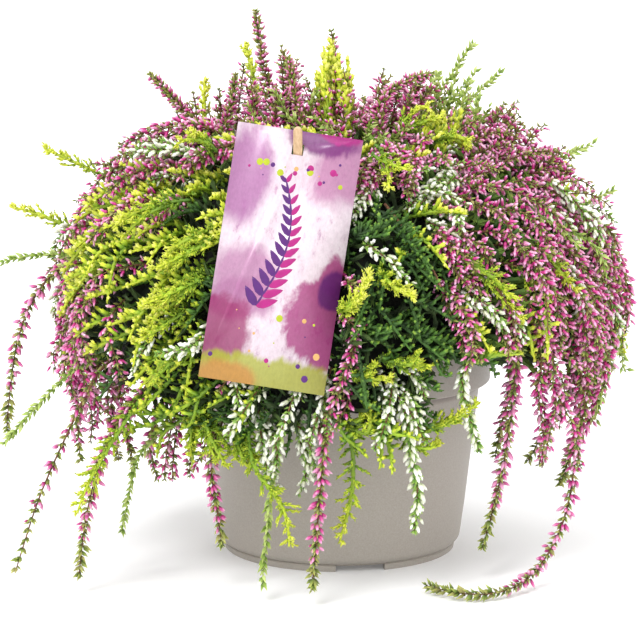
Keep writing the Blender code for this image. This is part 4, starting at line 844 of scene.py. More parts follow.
def fingers_of(stem, spacing, reach, rise, rng, start):
    """Routes of the side shoots of a plume: each leaves the stem at an angle and curves to its tip.

    They shorten towards the stem's tip and swell and shrink slowly along it. Each is a curve of
    the second degree from its first direction to one further ahead, outwards and up.
    """
    distance = np.arange(start, stem.length - 1.0, spacing)
    count = len(distance)
    distance = distance + rng.normal(0.0, 0.3 * spacing, count)
    turn = GOLDEN_TURN * np.arange(count) + rng.normal(0.0, 0.3, count)
    place, ahead, out = stem.at(np.clip(distance, 0.0, stem.length), turn)
    out = unit(out + 0.55 * rise * UP)
    left = stem.length - distance
    lengths = reach * (0.4 + 0.6 * smooth_step(left / (2.6 * reach)))
    lengths = lengths * rng.uniform(0.72, 1.15, count)
    lengths = lengths * (0.82 + 0.26 * np.sin(0.5 * distance + rng.uniform(0.0, 6.0)))
    lean = np.radians(SIDE_SHOOT_ANGLE)
    first = unit(ahead * np.cos(lean) + out * np.sin(lean))
    outwards = unit(place * FLAT) * 0.3 * rise
    last = unit(first + 0.4 * ahead + outwards + rise * UP)
    t = np.linspace(0.0, 1.0, SIDE_SHOOT_POINTS)[None, :, None]
    bend = first[:, None] * t + 0.5 * (last - first)[:, None] * t**2
    routes = place[:, None] + bend * lengths[:, None, None]
    return routes, np.clip(distance / stem.length, 0.0, 1.0)


def scaly(growth, routes, radius, finish, rng, along):
    """Shoots clad in four rows of scale leaves, raised from a four-sided tube by a formula.

    At each ring two opposite corners stand out and forward, and at the next ring the other two.
    """
    count, steps = routes.shape[:2]
    corners = (np.arange(steps)[:, None] + np.arange(4)[None, :]) % 2 == 0
    taper = np.interp(np.linspace(0.0, 1.0, steps), [0.0, 0.25, 0.7, 1.0], [0.7, 1.0, 0.95, 0.45])
    shape = np.where(corners, 1.0, 0.66) * taper[:, None] * radius
    radii = shape[None] * rng.uniform(0.85, 1.15, (count, steps, 4))
    step = np.linalg.norm(routes[:, 1] - routes[:, 0], axis=-1)[:, None, None]
    lean = np.where(corners, 0.75, 0.0)[None] * step
    sweep(growth, routes, radii, finish, 4, rng.uniform(0.0, 1.0, count), along, lean)


def needles(growth, routes, finish, rng, along):
    """Small leaves all round many routes, from near the foot to the tip, where they are shorter."""
    share = np.linspace(0.08, 0.97, NEEDLES)
    lower = np.floor(share * (routes.shape[1] - 1)).astype(int)
    part = (share * (routes.shape[1] - 1) - lower)[:, None]
    place = routes[:, lower] * (1.0 - part) + routes[:, lower + 1] * part
    ahead = unit(routes[:, lower + 1] - routes[:, lower]).reshape(-1, 3)
    out = unit(np.cross(ahead, rng.normal(size=ahead.shape)))
    lengths = NEEDLE_LENGTH * rng.uniform(0.75, 1.2, len(ahead))
    lengths = lengths * np.tile(1.0 - 0.4 * share, len(routes))
    forward = ahead * 0.8 + out * 0.55
    along = np.repeat(along, NEEDLES)
    place = place.reshape(-1, 3)
    scatter(growth, LEAF, finish, place, forward, lengths, 0.45 * lengths, rng, along)


def plume(growth, stem, size, rng, fine, reach, rise, start, thin=1.0, bright=1.0):
    """A golden heather's shoot: a scaly stem with side shoots all round it, greener and darker with
    painted shade if less bright.

    Fine plumes are those of single sprays and laid shoots. Their side shoots bear needles, and
    those in the crown's mass are scaly.
    """
    radius = size.shoot_width / MM / 2 * thin
    spacing = (1.6 if fine else 1.9) * (0.4 + 0.6 * thin)
    routes, along = fingers_of(stem, spacing, reach, rise, rng, start)
    along = np.clip(along * bright, 0.0, 1.0)
    if fine:
        sweep(growth, routes, np.full(routes.shape[:2], 0.45 * radius), 0, 3, 0.5 * along, along)
        needles(growth, routes, 0, rng, along)
    elif len(routes):
        scaly(growth, routes, radius, 0, rng, along)
    main = even_route(stem.route, SCALE_STEP)[None]
    scaly(growth, main, radius * 1.05, 0, rng, np.full(1, 0.4 * bright))


def green_shoot(growth, stem, size, rng, fine):
    """A thin shoot of a heather out of flower: small leaves in four rows up a green stem.

    The leaves swell and shrink slowly along the stem.
    """
    spacing = 0.62 if fine else 1.0
    distance = np.arange(2.0, stem.length, spacing)
    count = len(distance)
    turn = 0.5 * np.pi * np.arange(count) + rng.normal(0.0, 0.3, count)
    distance = np.clip(distance + rng.normal(0.0, 0.4, count), 0.0, stem.length)
    place, ahead, out = stem.at(distance, turn)
    swell = 0.75 + 0.4 * np.sin(distance * 1.1) ** 2
    lengths = 1.55 * size.leaf_length / MM * rng.uniform(0.8, 1.2, count) * swell
    forward = ahead * 0.85 + out * 0.6
    widths = LEAF_WIDTH * lengths
    scatter(growth, LEAF, 0, place, forward, lengths, widths, rng, distance / stem.length)


def bare_stem(growth, stem, thick, thin, finish, rng, spacing=2.5, sides=5):
    """The stem itself: a tube that thins towards its tip and stops short of the last leaves."""
    route = even_route(stem.route, spacing)[None]
    route[:, -1] += 1.2 * unit(route[:, -2] - route[:, -1])
    radii = np.linspace(thick, thin, route.shape[1])[None] / 2
    sweep(growth, route, radii, finish, sides, rng.uniform(0.0, 1.0, 1), np.ones(1))


# Finishes


def add_node(tree, kind, settings=None, values=None, links=None, stops=None):
    """Adds a shader node with its settings, its unlinked values, its links and its colour stops."""
    made = tree.nodes.new("ShaderNode" + kind)
    for name, value in (settings or {}).items():
        setattr(made, name, value)
    for socket, value in (values or {}).items():
        made.inputs[socket].default_value = value
    for socket, source in (links or {}).items():
        tree.links.new(source, made.inputs[socket])
    if stops:
        elements = made.color_ramp.elements
        while len(elements) < len(stops):
            elements.new(0.5)
        for element, (place, colour) in zip(elements, stops):
            element.position = place
            element.color = (*linear(colour), 1.0)
    return made


def new_finish(name, roughness):
    """A material of the given roughness, with its node tree and its Principled shader."""
    made = bpy.data.materials.new(name)
    made.use_nodes = True
    shader = made.node_tree.nodes["Principled BSDF"]
    shader.inputs["Roughness"].default_value = roughness
    return made, made.node_tree, shader


def tint_sockets(tree):
    """Outputs with the random share, the share along the leaf and the share along the shoot."""
    read = add_node(tree, "Attribute", {"attribute_name": "growth"})
    split = add_node(tree, "SeparateColor", links={"Color": read.outputs["Color"]})
    return split.outputs[0], split.outputs[1], split.outputs[2]


def vary_brightness(tree, shader, colour, value, reach, shares):
    """Gives the shader a colour whose brightness a value varies.

    As the value goes from one end of its reach to the other, brightness goes from the first
    share to the second.
    """
    brightness = add_node(
        tree,
        "MapRange",
        values=dict(zip(("From Min", "From Max", "To Min", "To Max"), (*reach, *shares))),
        links={"Value": value},
    )
    links = {"Color": colour, "Value": brightness.outputs[0]}
    varied = add_node(tree, "HueSaturation", links=links)
    tree.links.new(varied.outputs[0], shader.inputs["Base Color"])


def petal_finish(name, stops, pale, pale_share, roughness):
    """Living petal or leaf: colour runs from foot to tip, and each is paler or deeper by chance."""
    made, tree, shader = new_finish(name, roughness)
    chance, along, _ = tint_sockets(tree)
    run = add_node(tree, "ValToRGB", links={"Fac": along}, stops=stops)
    reach = {"From Min": 0.35, "From Max": 1.0, "To Min": 0.0, "To Max": pale_share}
    amount = add_node(tree, "MapRange", values=reach, links={"Value": chance})
    links = {0: amount.outputs[0], 6: run.outputs[0]}
    paler = {7: (*linear(pale), 1.0)}
    mixed = add_node(tree, "Mix", {"data_type": "RGBA"}, paler, links)
    vary_brightness(tree, shader, mixed.outputs[2], chance, (0.0, 0.5), (0.8, 1.0))
    return made


def plume_finish(name, stops, roughness):
    """Scale leaves: dark at the foot of a plume, which is painted shade, and bright at each tip,
    partly their own colour and partly painted light.

    The run of colours reads 0.48 of the share along the side shoot and 0.52 of that along the
    whole shoot.
    """
    made, tree, shader = new_finish(name, roughness)
    chance, along, shoot = tint_sockets(tree)
    step = {"operation": "MULTIPLY_ADD"}
    by_shoot = add_node(tree, "Math", step, {1: 0.52, 2: 0.0}, {0: shoot})
    both = add_node(tree, "Math", step, {1: 0.48}, {0: along, 2: by_shoot.outputs[0]})
    run = add_node(tree, "ValToRGB", links={"Fac": both.outputs[0]}, stops=stops)
    vary_brightness(tree, shader, run.outputs[0], chance, (0.0, 1.0), (0.72, 1.12))
    return made


def grained_finish(name, colours, grain, stretch, roughness, bump, distortion=0.0):
    """A noise-grained finish for bark, wood, soil and moulded plastic, coloured and raised alike.

    The grain is how many of its lumps follow each other in a millimetre, and the stretch is the
    share of that along each axis.
    """
    made, tree, shader = new_finish(name, roughness)
    where = add_node(tree, "TexCoord").outputs["Object"]
    mapped = add_node(tree, "Mapping", values={"Scale": stretch}, links={"Vector": where})
    noise = add_node(
        tree,
        "TexNoise",
        values={"Scale": grain / MM, "Detail": 6.0, "Roughness": 0.6, "Distortion": distortion},
        links={"Vector": mapped.outputs[0]},
    ).outputs[0]
    stops = [(0.30 + 0.40 * k / (len(colours) - 1), colour) for k, colour in enumerate(colours)]
    run = add_node(tree, "ValToRGB", links={"Fac": noise}, stops=stops)
    tree.links.new(run.outputs[0], shader.inputs["Base Color"])
    depth = {"Strength": bump, "Distance": BUMP_DEPTH * MM}
    raised = add_node(tree, "Bump", values=depth, links={"Height": noise})
    tree.links.new(raised.outputs[0], shader.inputs["Normal"])
    return made


def shade_under_band(made, band):
    """Paints shade into the pot's finish just under its band, where little light comes."""
    tree = made.node_tree
    colour = tree.nodes["Principled BSDF"].inputs["Base Color"]
    where = add_node(tree, "TexCoord").outputs["Object"]
    height = add_node(tree, "SeparateXYZ", links={"Vector": where}).outputs["Z"]
    strip = {"From Min": (band - SHADE_HEIGHT) * MM, "From Max": band * MM}
    near = add_node(tree, "MapRange", values=strip, links={"Value": height}).outputs[0]
    # Colours of the painted shade, darkest right under the band
    stops = ((0.0, "#FFFFFF"), (0.35, "#DAD6D6"), (0.97, "#B4ADB0"), (1.0, "#FFFFFF"))
    shade = add_node(tree, "ValToRGB", links={"Fac": near}, stops=stops).outputs[0]
    blend = {"data_type": "RGBA", "blend_type": "MULTIPLY"}
    links = {6: colour.links[0].from_socket, 7: shade}
    mixed = add_node(tree, "Mix", blend, {0: 1.0}, links)
    tree.links.new(mixed.outputs[2], colour)
    return made


def watercolour_finish(name):
    """Offset-printed card: violet, magenta and lime washes that run into white, with a satin coat.

    Each wash covers the card where the distance from its middle, in shares of its reach, and a
    ragged noise come to less than a limit. A fine noise stands for the grain of the print.
    """
    made, tree, shader = new_finish(name, CARD_ROUGHNESS)
    shader.inputs["Coat Weight"].default_value = 0.25
    shader.inputs["Coat Roughness"].default_value = 0.2
    where = add_node(tree, "UVMap", {"uv_map": "card"}).outputs[0]
    ragged, blotches, grains = (
        add_node(
            tree,
            "TexNoise",
            values={"Scale": scale, "Detail": detail, "Roughness": rough, "Distortion": bent},
            links={"Vector": where},
        ).outputs[0]
        for scale, detail, rough, bent in CARD_NOISES
    )
    paper = add_node(tree, "ValToRGB", links={"Fac": blotches}, stops=CARD_PAPER)
    last = paper.outputs[0]
    for (across, up), (wide, high), colour, edge in CARD_WASHES:
        away = add_node(
            tree,
            "Mapping",
            {"vector_type": "TEXTURE"},
            {"Location": (across, up, 0.0), "Scale": (wide, high, 1.0)},
            {"Vector": where},
        ).outputs[0]
        distance = add_node(tree, "VectorMath", {"operation": "LENGTH"}, links={0: away})
        reached = add_node(
            tree,
            "Math",
            {"operation": "MULTIPLY_ADD"},
            {1: 1.5},
            {0: ragged, 2: distance.outputs["Value"]},
        )
        limits = {"From Min": WASH_LIMIT + edge, "From Max": WASH_LIMIT - edge}
        amount = add_node(
            tree,
            "MapRange",
            {"interpolation_type": "SMOOTHSTEP"},
            {**limits, "To Min": 0.0, "To Max": WASH_STRENGTH},
            {"Value": reached.outputs[0]},
        )
        links = {0: amount.outputs[0], 6: last}
        wash = {7: (*linear(colour), 1.0)}
        washed = add_node(tree, "Mix", {"data_type": "RGBA"}, wash, links)
        last = washed.outputs[2]
    vary_brightness(tree, shader, last, grains, (0.3, 0.7), (0.86, 1.08))
    return made


def ink(name, colour):
    """Printing ink in one colour, as glossy as the card, a little lighter and darker by noise."""
    made, tree, shader = new_finish(name, CARD_ROUGHNESS)
    where = add_node(tree, "TexCoord").outputs["Object"]
    grain = {"Scale": INK_GRAIN / MM, "Detail": 3.0}
    noise = add_node(tree, "TexNoise", values=grain, links={"Vector": where}).outputs[0]
    shares = {"To Min": 0.78, "To Max": 1.2}
    value = add_node(tree, "MapRange", values=shares, links={"Value": noise}).outputs[0]
    colour = {"Color": (*linear(colour), 1.0)}
    shade = add_node(tree, "HueSaturation", values=colour, links={"Value": value})
    tree.links.new(shade.outputs[0], shader.inputs["Base Color"])
    return made


# Noises of the card, in shares of its sides: the ragged edges of washes, the paper's blotches and
# the grain of the print, each as scale, detail, roughness and distortion
CARD_NOISES = ((3.2, 7.0, 0.62, 0.5), (11.0, 5.0, 0.7, 0.0), (46.0, 4.0, 0.75, 0.0))
CARD_PAPER = ((0.30, "#B089A6"), (0.42, "#D4C2CC"), (0.60, "#DBCDD5"), (0.74, "#BC97B1"))
WASH_LIMIT = 1.75
WASH_STRENGTH = 0.88
CARD_ROUGHNESS = 0.38
# Lumps of ink in a millimetre, and depth of every grain in millimetres
INK_GRAIN = 0.42
BUMP_DEPTH = 0.4
# Washes of the printed card: middle and reach in shares of the card, colour, and softness
CARD_WASHES = (
    ((0.90, 0.86), (0.28, 0.14), "#A76A92", 0.35),
    ((0.08, 0.80), (0.24, 0.18), "#9A5C90", 0.30),
    ((0.22, 0.42), (0.28, 0.10), "#A97298", 0.40),
    ((0.66, 1.00), (0.32, 0.09), "#6B1268", 0.16),
    ((0.84, 1.02), (0.20, 0.05), "#A01A74", 0.18),
    ((1.00, 0.30), (0.38, 0.20), "#97106C", 0.10),
    ((0.98, 0.40), (0.16, 0.07), "#5A176A", 0.18),
    ((0.20, 0.32), (0.26, 0.08), "#A26690", 0.30),
    ((0.06, 0.20), (0.30, 0.13), "#8C0F5C", 0.16),
    ((0.50, 0.00), (0.80, 0.11), "#A3A61C", 0.14),
    ((0.22, 0.01), (0.26, 0.06), "#C08640", 0.30),
)
# Stretch of a grain that is alike in every direction
EVEN = (1.0, 1.0, 1.0)
# Each finish: the function that makes it, the real material's name and that function's settings
FINISHES = {
    # Petals are matt and waxy, deep at the foot and paler at the tip, and every few are bleached
    "rose petal": (
        petal_finish, "rose heather petal",
        ((0.0, "#5A1038"), (0.2, "#BE1C74"), (0.55, "#DD429B"), (0.82, "#F096CB"), (1, "#FFE6F3")),
        "#FFE2F0", 0.55, 0.5,
    ),
    # The same petals on the single sprays, darker and duller: a painted shade for where they hang
    # in their own shade
    "rose spray petal in painted shade": (
        petal_finish, "rose heather spray petal",
        ((0.0, "#4A0E30"), (0.2, "#AE2070"), (0.6, "#CF4F97"), (1.0, "#F1BEDB")),
        "#EBC6DB", 0.5, 0.5,
    ),
    # White petals keep a green foot, so a spike looks white only from a little way off
    "white petal": (
        petal_finish, "white heather petal",
        ((0.0, "#A3B860"), (0.35, "#E6EACB"), (1.0, "#FBFBF2")), "#FFFFFF", 0.5, 0.5,
    ),
    # Leathery leaves are duller than petals. Those of the pink heather are olive, and some brown
    "rose leaf": (
        petal_finish, "olive heather leaf",
        ((0.0, "#2C3812"), (0.45, "#687E2C"), (1.0, "#C2CC60")), "#B8A26C", 0.5, 0.6,
    ),
    # Those of the white heather are a fresh green, lighter at the tip
    "white leaf": (
        petal_finish, "fresh heather leaf",
        ((0.0, "#436C22"), (0.6, "#74A43A"), (1.0, "#B8D268")), "#B4CC68", 0.4, 0.6,
    ),
    # Shoots out of flower have pale leaves that catch the light at their tips
    "green leaf": (
        petal_finish, "pale heather leaf", ((0.0, "#4A6A22"), (0.5, "#84A23A"), (1.0, "#BFCF66")),
        "#DCE49A", 0.5, 0.6,
    ),
    # Scale leaves that lie close give a plume its cord-like look. Its tips are bright lime where
    # the sun gets, partly their own colour and partly painted light, and its foot is dark with
    # painted shade
    "gold scales": (
        plume_finish, "golden scale leaves",
        ((0.0, "#223A0E"), (0.26, "#55801C"), (0.48, "#98B826"), (0.7, "#D6DE38"), (1, "#F5F384")),
        0.55,
    ),
    # The same in deep green, with lighter tips
    "deep scales": (
        plume_finish, "dark scale leaves",
        ((0.0, "#12200C"), (0.42, "#294B17"), (0.76, "#527F24"), (1.0, "#A4C544")), 0.6,
    ),
    # Inner twigs are dull and painted nearly black, a painted shade that makes the gaps between
    # shoots look deep
    "core twigs": (
        plume_finish, "shaded inner twigs",
        ((0.0, "#0B1207"), (0.5, "#263817"), (1.0, "#4C6428")), 0.8,
    ),
    # Where shoots stand further apart, the inner twigs bear leaves and look green
    "leafy twigs": (
        plume_finish, "inner twigs in leaf",
        ((0.0, "#16240C"), (0.5, "#3A5A1E"), (1.0, "#7C9C38")), 0.8,
    ),
    # The heart of matted twigs has no gloss at all: a dark ground of painted shade that only shows
    # in gaps. The leafy heart is painted in shaded greens
    "core": (
        grained_finish, "shaded heart of the bush", ("#030502", "#0A1006", "#120E07"), 0.42, EVEN,
        0.95, 0.8,
    ),
    "leafy core": (
        grained_finish, "leafy heart of the bush", ("#0A1206", "#1C2C10", "#36481E"), 0.42, EVEN,
        0.95, 0.8,
    ),
    # Stringy bark has long flakes up the stem, in reddish browns
    "bark": (
        grained_finish, "heather bark", ("#3A2418", "#6B4630", "#8E6548"), 0.9, (1.0, 1.0, 0.25),
        0.85, 0.6,
    ),
    # Moist peat is dark and crumbly, in lumps of about two millimetres
    "soil": (
        grained_finish, "peat soil", ("#1A110B", "#38261A", "#5B4332"), 0.52, EVEN, 0.95, 1.0,
    ),
    # Moulded polypropylene is an even grey-brown with a low sheen. The texture that the mould
    # leaves is drawn coarser than the real one, so that it shows
    "pot": (
        grained_finish, "moulded polypropylene", ("#9B948B", "#A29B92", "#A9A299"), 1.5, EVEN,
        0.5, 0.12,
    ),
    # Planed birch has fine pale grain that runs the length of the stake
    "wood": (
        grained_finish, "planed birch", ("#A98A66", "#C2A27C", "#D2B692"), 0.7, (1.0, 1.0, 0.08),
        0.65, 0.25, 0.4,
    ),
    # Coated card has a soft gloss over blurred washes, and ink on it stands out crisp
    "card": (watercolour_finish, "watercolour printed card"),
    "violet ink": (ink, "violet ink", "#4E1868"),
    "magenta ink": (ink, "magenta ink", "#A01470"),
    "lime ink": (ink, "lime ink", "#A4B01E"),
    "ochre ink": (ink, "ochre ink", "#C69A5E"),
}
# Finishes made so far, by name
_finishes = {}


def finish(name):
    """The finish of that name, made once."""
    if name not in _finishes:
        make, *settings = FINISHES[name]
        _finishes[name] = make(*settings)
    return _finishes[name]


# Settings


def measure(name, description, default):
    """A setting in metres, whose default is given in millimetres."""
    return FloatProperty(name=name, description=description, default=default * MM, unit="LENGTH")


class HeatherFlowers(bpy.types.PropertyGroup):
    """Sizes of buds, leaves and scaly shoots."""

    bud_length: measure("Bud length", "Length of a flower bud", 4.6)
    bud_width: measure("Bud width", "Width of a flower bud", 1.9)
    leaf_length: measure("Leaf length", "Length of a small leaf", 2.5)
    shoot_width: measure("Shoot width", "Width of a shoot clad in scales", 2.2)


class HeatherCrown(bpy.types.PropertyGroup):
    """How densely the crown grows, and its chance."""

    spacing: measure("Shoot spacing", "Distance between shoots' roots", 9.8)
    twig_spacing: measure("Twig spacing", "Distance between inner twigs", 5.6)
    seed: IntProperty(name="Seed", description="Seed of the crown's chance", default=41)


class HeatherPot(bpy.types.PropertyGroup):
    """Sizes of the pot's wall and rim band."""

    wall: measure("Wall", "Thickness of the pot's wall", 1.3)
    band_height: measure("Band height", "Height of the rim band", 21.5)
    steps: IntProperty(name="Steps", description="Steps around the pot", default=144)


class HeatherStage(bpy.types.PropertyGroup):
    """Colour and light of the studio."""

    floor_colour: FloatVectorProperty(
        name="Floor", description="Colour of the floor", subtype="COLOR", default=linear("#F4F4F5")
    )
    floor_glow: FloatProperty(name="Floor glow", description="Light from the floor", default=0.1)
    sky_strength: FloatProperty(name="Sky", description="Strength of the soft sky", default=0.9)
    lamp_strength: FloatProperty(name="Lamp", description="Strength of the key lamp", default=2.2)


# Pieces


def cut(piece, cutters):
    """Cuts a piece by closed shapes, one Boolean on their collection, and applies it."""
    group = bpy.data.collections.new("cutters")
    bpy.context.scene.collection.children.link(group)
    for growth in cutters:
        mesh = bpy.data.meshes.new("cutter")
        points = (np.vstack(growth.points) + AXIS) * MM
        mesh.from_pydata(points.tolist(), [], np.vstack(growth.faces).tolist())
        group.objects.link(bpy.data.objects.new("cutter", mesh))
    modifier = piece.modifiers.new("cut", "BOOLEAN")
    modifier.operation = "DIFFERENCE"
    modifier.operand_type = "COLLECTION"
    modifier.collection = group
    graph = bpy.context.evaluated_depsgraph_get()
    made = bpy.data.meshes.new_from_object(piece.evaluated_get(graph))
    piece.modifiers.clear()
    old = piece.data
    piece.data = made
    bpy.data.meshes.remove(old)
    for obj in list(group.objects):
        bpy.data.objects.remove(obj)
    bpy.data.collections.remove(group)


def shade_by_angle(piece, degrees):
    """Smooth shading with edges sharper than the angle kept crisp."""
    piece.data.shade_smooth()
    piece.data.set_sharp_from_angle(angle=math.radians(degrees))


def plain_tints(points):
    """Tints for points that have none of their own."""
    return np.full((points.size // 3, 3), 0.5)


def block(size, place, turn):
    """A closed box of the given size as a growth, turned about its middle and placed."""
    made = Growth()
    low = np.array([[-1, -1, -1], [1, -1, -1], [1, 1, -1], [-1, 1, -1]], float)
    corners = np.vstack([low, low + [0, 0, 2]]) * np.array(size) / 2
    faces = np.array(
        [
            (0, 2, 1), (0, 3, 2), (4, 5, 6), (4, 6, 7), (0, 1, 5), (0, 5, 4),
            (1, 2, 6), (1, 6, 5), (2, 3, 7), (2, 7, 6), (3, 0, 4), (3, 4, 7),
        ]
    )
    made.add(corners @ turn.T + place, faces, 0, plain_tints(corners))
    return made


def arc(middle, radius, first, last, count):
    """Points of an arc in the profile's plane, from one angle to the other."""
    angles = np.radians(np.linspace(first, last, count))
    return [(middle[0] + radius * math.cos(a), middle[1] + radius * math.sin(a)) for a in angles]


def turned(profile, steps):
    """A turned shape: the profile from axis to axis, carried once round the pot's axis."""
    made = Growth()
    outline = np.array(profile[1:-1])
    azimuth = np.arange(steps) * 360.0 / steps
    rings = about_axis(outline[:, :1], azimuth[None, :], outline[:, 1:])
    first = [[0.0, 0.0, profile[0][1]]]
    last = [[0.0, 0.0, profile[-1][1]]]
    points = np.vstack([first, rings.reshape(-1, 3), last])
    made.add(points, closed_faces(len(outline), steps), 0, plain_tints(points))
    return made


def build_pot(settings):
    """The pot's wall, band and foot as one turned profile with rounded edges, then its cuts."""
    wall = settings.wall / MM
    band = POT_HEIGHT - settings.band_height / MM
    round_edge = 0.5 * wall
    round_band = BAND_CORNER_RADIUS

    def body(height):
        """Outer radius of the pot's wall at a height."""
        return BODY_FOOT_RADIUS + BODY_TAPER * height

    foot = BODY_FOOT_RADIUS - FOOT_INSET
    corner = FLOOR_TOP + FLOOR_CORNER
    lip = (BAND_TOP_RADIUS - round_edge, POT_HEIGHT - round_edge)
    profile = [
        (0.0, FOOT_HEIGHT),
        (foot - FOOT_WIDTH - FOOT_EDGE, FOOT_HEIGHT),
        (foot - FOOT_WIDTH, FOOT_HEIGHT - FOOT_EDGE),
        (foot - FOOT_WIDTH + FOOT_EDGE / 2, FOOT_EDGE / 2),
        (foot - FOOT_WIDTH + FOOT_EDGE, 0.0),
        (foot - FOOT_EDGE, 0.0),
        (foot - 0.2, FOOT_EDGE / 2),
        (foot + 0.3, FOOT_HEIGHT - 0.5),
        *arc((body(6.0) - 4.3, 7.0), LOW_CORNER_RADIUS, -72.0, -8.0, 9),
        (body(20.0), 20.0),
        (body(45.0), 45.0),
        (body(band) - 0.2, band - 1.2),
        *arc((body(band) + 0.6, band - round_band), round_band, 180.0, 90.0, 4),
        *arc((BAND_FOOT_RADIUS - round_band, band + round_band), round_band, -90.0, 0.0, 5),
        *arc(lip, round_edge, 0.0, 180.0, 9),
        (BAND_FOOT_RADIUS - wall, band + 2 * wall),
        (body(band) - wall, band + wall),
        (body(corner) - wall, corner),
        (body(corner) - wall - FLOOR_CORNER, FLOOR_TOP),
        (0.0, FLOOR_TOP),
    ]
    # The pot's finish gets a strip of painted shade under its band
    plastic = shade_under_band(finish("pot"), band)
    piece = make_piece("pot_moulded", turned(profile, settings.steps), [plastic], ("pot",))
    cutters = []
    for azimuth in NOTCH_AZIMUTHS:
        place = about_axis(foot - FOOT_WIDTH / 2, azimuth, 0.0)
        size = (3 * FOOT_WIDTH, NOTCH_WIDTH, 2 * NOTCH_HEIGHT)
        cutters.append(block(size, place, turn_about(2, azimuth)))
    for k in range(DRAIN_COUNT):
        place = about_axis(DRAIN_RING_RADIUS, 360.0 / DRAIN_COUNT * k, 0.0)
        route = place + np.array([[-5.0], [5.0], [12.0]]) * UP
        drain = Growth()
        sweep(drain, route[None], np.full((1, 3), DRAIN_RADIUS), 0, 24, np.zeros(1), np.zeros(1))
        cutters.append(drain)
    cut(piece, cutters)
    shade_by_angle(piece, CRISP_POT_ANGLE)


def build_label():
    """The printed card with its slit, the map of its print, and raised ink on its front."""
    made = block((LABEL_WIDTH, LABEL_THICKNESS, LABEL_HEIGHT), LABEL_CENTRE, LABEL_TURN)
    card = make_piece("label_card", made, [finish("card")], ("label",))
    slit = from_label(0.0, 0.0, LABEL_HEIGHT / 2 - SLIT_BELOW_TOP)
    cut(card, [block((SLIT_WIDTH, 4 * LABEL_THICKNESS, SLIT_HEIGHT), slit, LABEL_TURN)])
    mesh = card.data
    points = np.empty(len(mesh.vertices) * 3, np.float32)
    mesh.vertices.foreach_get("co", points)
    across, _, up = np.moveaxis(label_coordinates(points.reshape(-1, 3) / MM - AXIS), -1, 0)
    corners = np.empty(len(mesh.loops), np.int32)
    mesh.loops.foreach_get("vertex_index", corners)
    shares = np.stack([across / LABEL_WIDTH + 0.5, up / LABEL_HEIGHT + 0.5], axis=-1)[corners]
    layer = mesh.uv_layers.new(name="card")
    layer.data.foreach_set("uv", shares.astype(np.float32).ravel())
    build_print()


def build_print():
    """Ink on the card: a curved sprig with paired drops for buds, and a spatter of round dots.

    Each mark is a bud shape pressed flat onto the card's front.
    """
    rng = np.random.default_rng(PRINT_SEED)
    drop = bud_shape(12, (0.08, 0.30, 0.60, 0.88), (0.55, 1.0, 0.82, 0.38))
    disc = bud_shape(20, (0.03, 0.15, 0.5, 0.85, 0.97), (0.34, 0.71, 1.0, 0.71, 0.34))
    made = Growth()

    def press(shape, ink_number, across, up, heading, length, width):
        """Adds flat marks in one ink: each from its start on the card, turned from upright."""
        angle = np.radians(heading)
        forward = np.stack([np.sin(angle), 0.0 * angle, np.cos(angle)], axis=-1)
        side = np.stack([np.cos(angle), 0.0 * angle, -np.sin(angle)], axis=-1)
        thick = np.array([0.0, 1.0, 0.0]) * INK_THICKNESS + 0.0 * side
        axes = np.stack([side * width[:, None] / 2, -thick, forward * length[:, None]], axis=-1)
        local = np.einsum("nij,tj->nti", axes, shape[0])
        start = np.stack([across, 0.0 * across - LABEL_THICKNESS / 2, up], axis=-1)
        points = from_label(*np.moveaxis(local + start[:, None], -1, 0))
        made.add_copies(points, shape[1], ink_number, plain_tints(points))

    share = np.linspace(0.0, 1.0, SPRIG_PAIRS)
    stem_across = SPRIG_SWING * np.sin(SPRIG_BEND * share) - 7.0
    stem_up = SPRIG_FOOT + SPRIG_RISE * share
    for number, sign in enumerate((-1.0, 1.0)):
        heading = 16.0 * np.cos(SPRIG_BEND * share) + sign * (52.0 - 16.0 * share)
        length = SPRIG_LEAF - SPRIG_LEAF_LOSS * share
        press(drop, number, stem_across, stem_up, heading, length, 0.42 * length)
    heading = np.degrees(np.arctan2(np.diff(stem_across), np.diff(stem_up)))
    run = np.hypot(np.diff(stem_across), np.diff(stem_up)) * 1.3
    press(drop, 0, stem_across[:-1], stem_up[:-1], heading, run, np.ones_like(run))
    dots = DOTS_OF_EACH_INK
    for number in range(len(INKS)):
        across = rng.uniform(*DOTS_ACROSS, dots)
        above = rng.uniform(size=dots) < 0.5
        up = np.where(above, rng.uniform(*DOTS_ABOVE, dots), rng.uniform(*DOTS_BELOW, dots))
        size = rng.choice(DOT_SIZES, dots)
        press(disc, number, across, up - size / 2, np.zeros(dots), size, size)
    make_piece("label_print", made, [finish(name) for name in INKS], ())


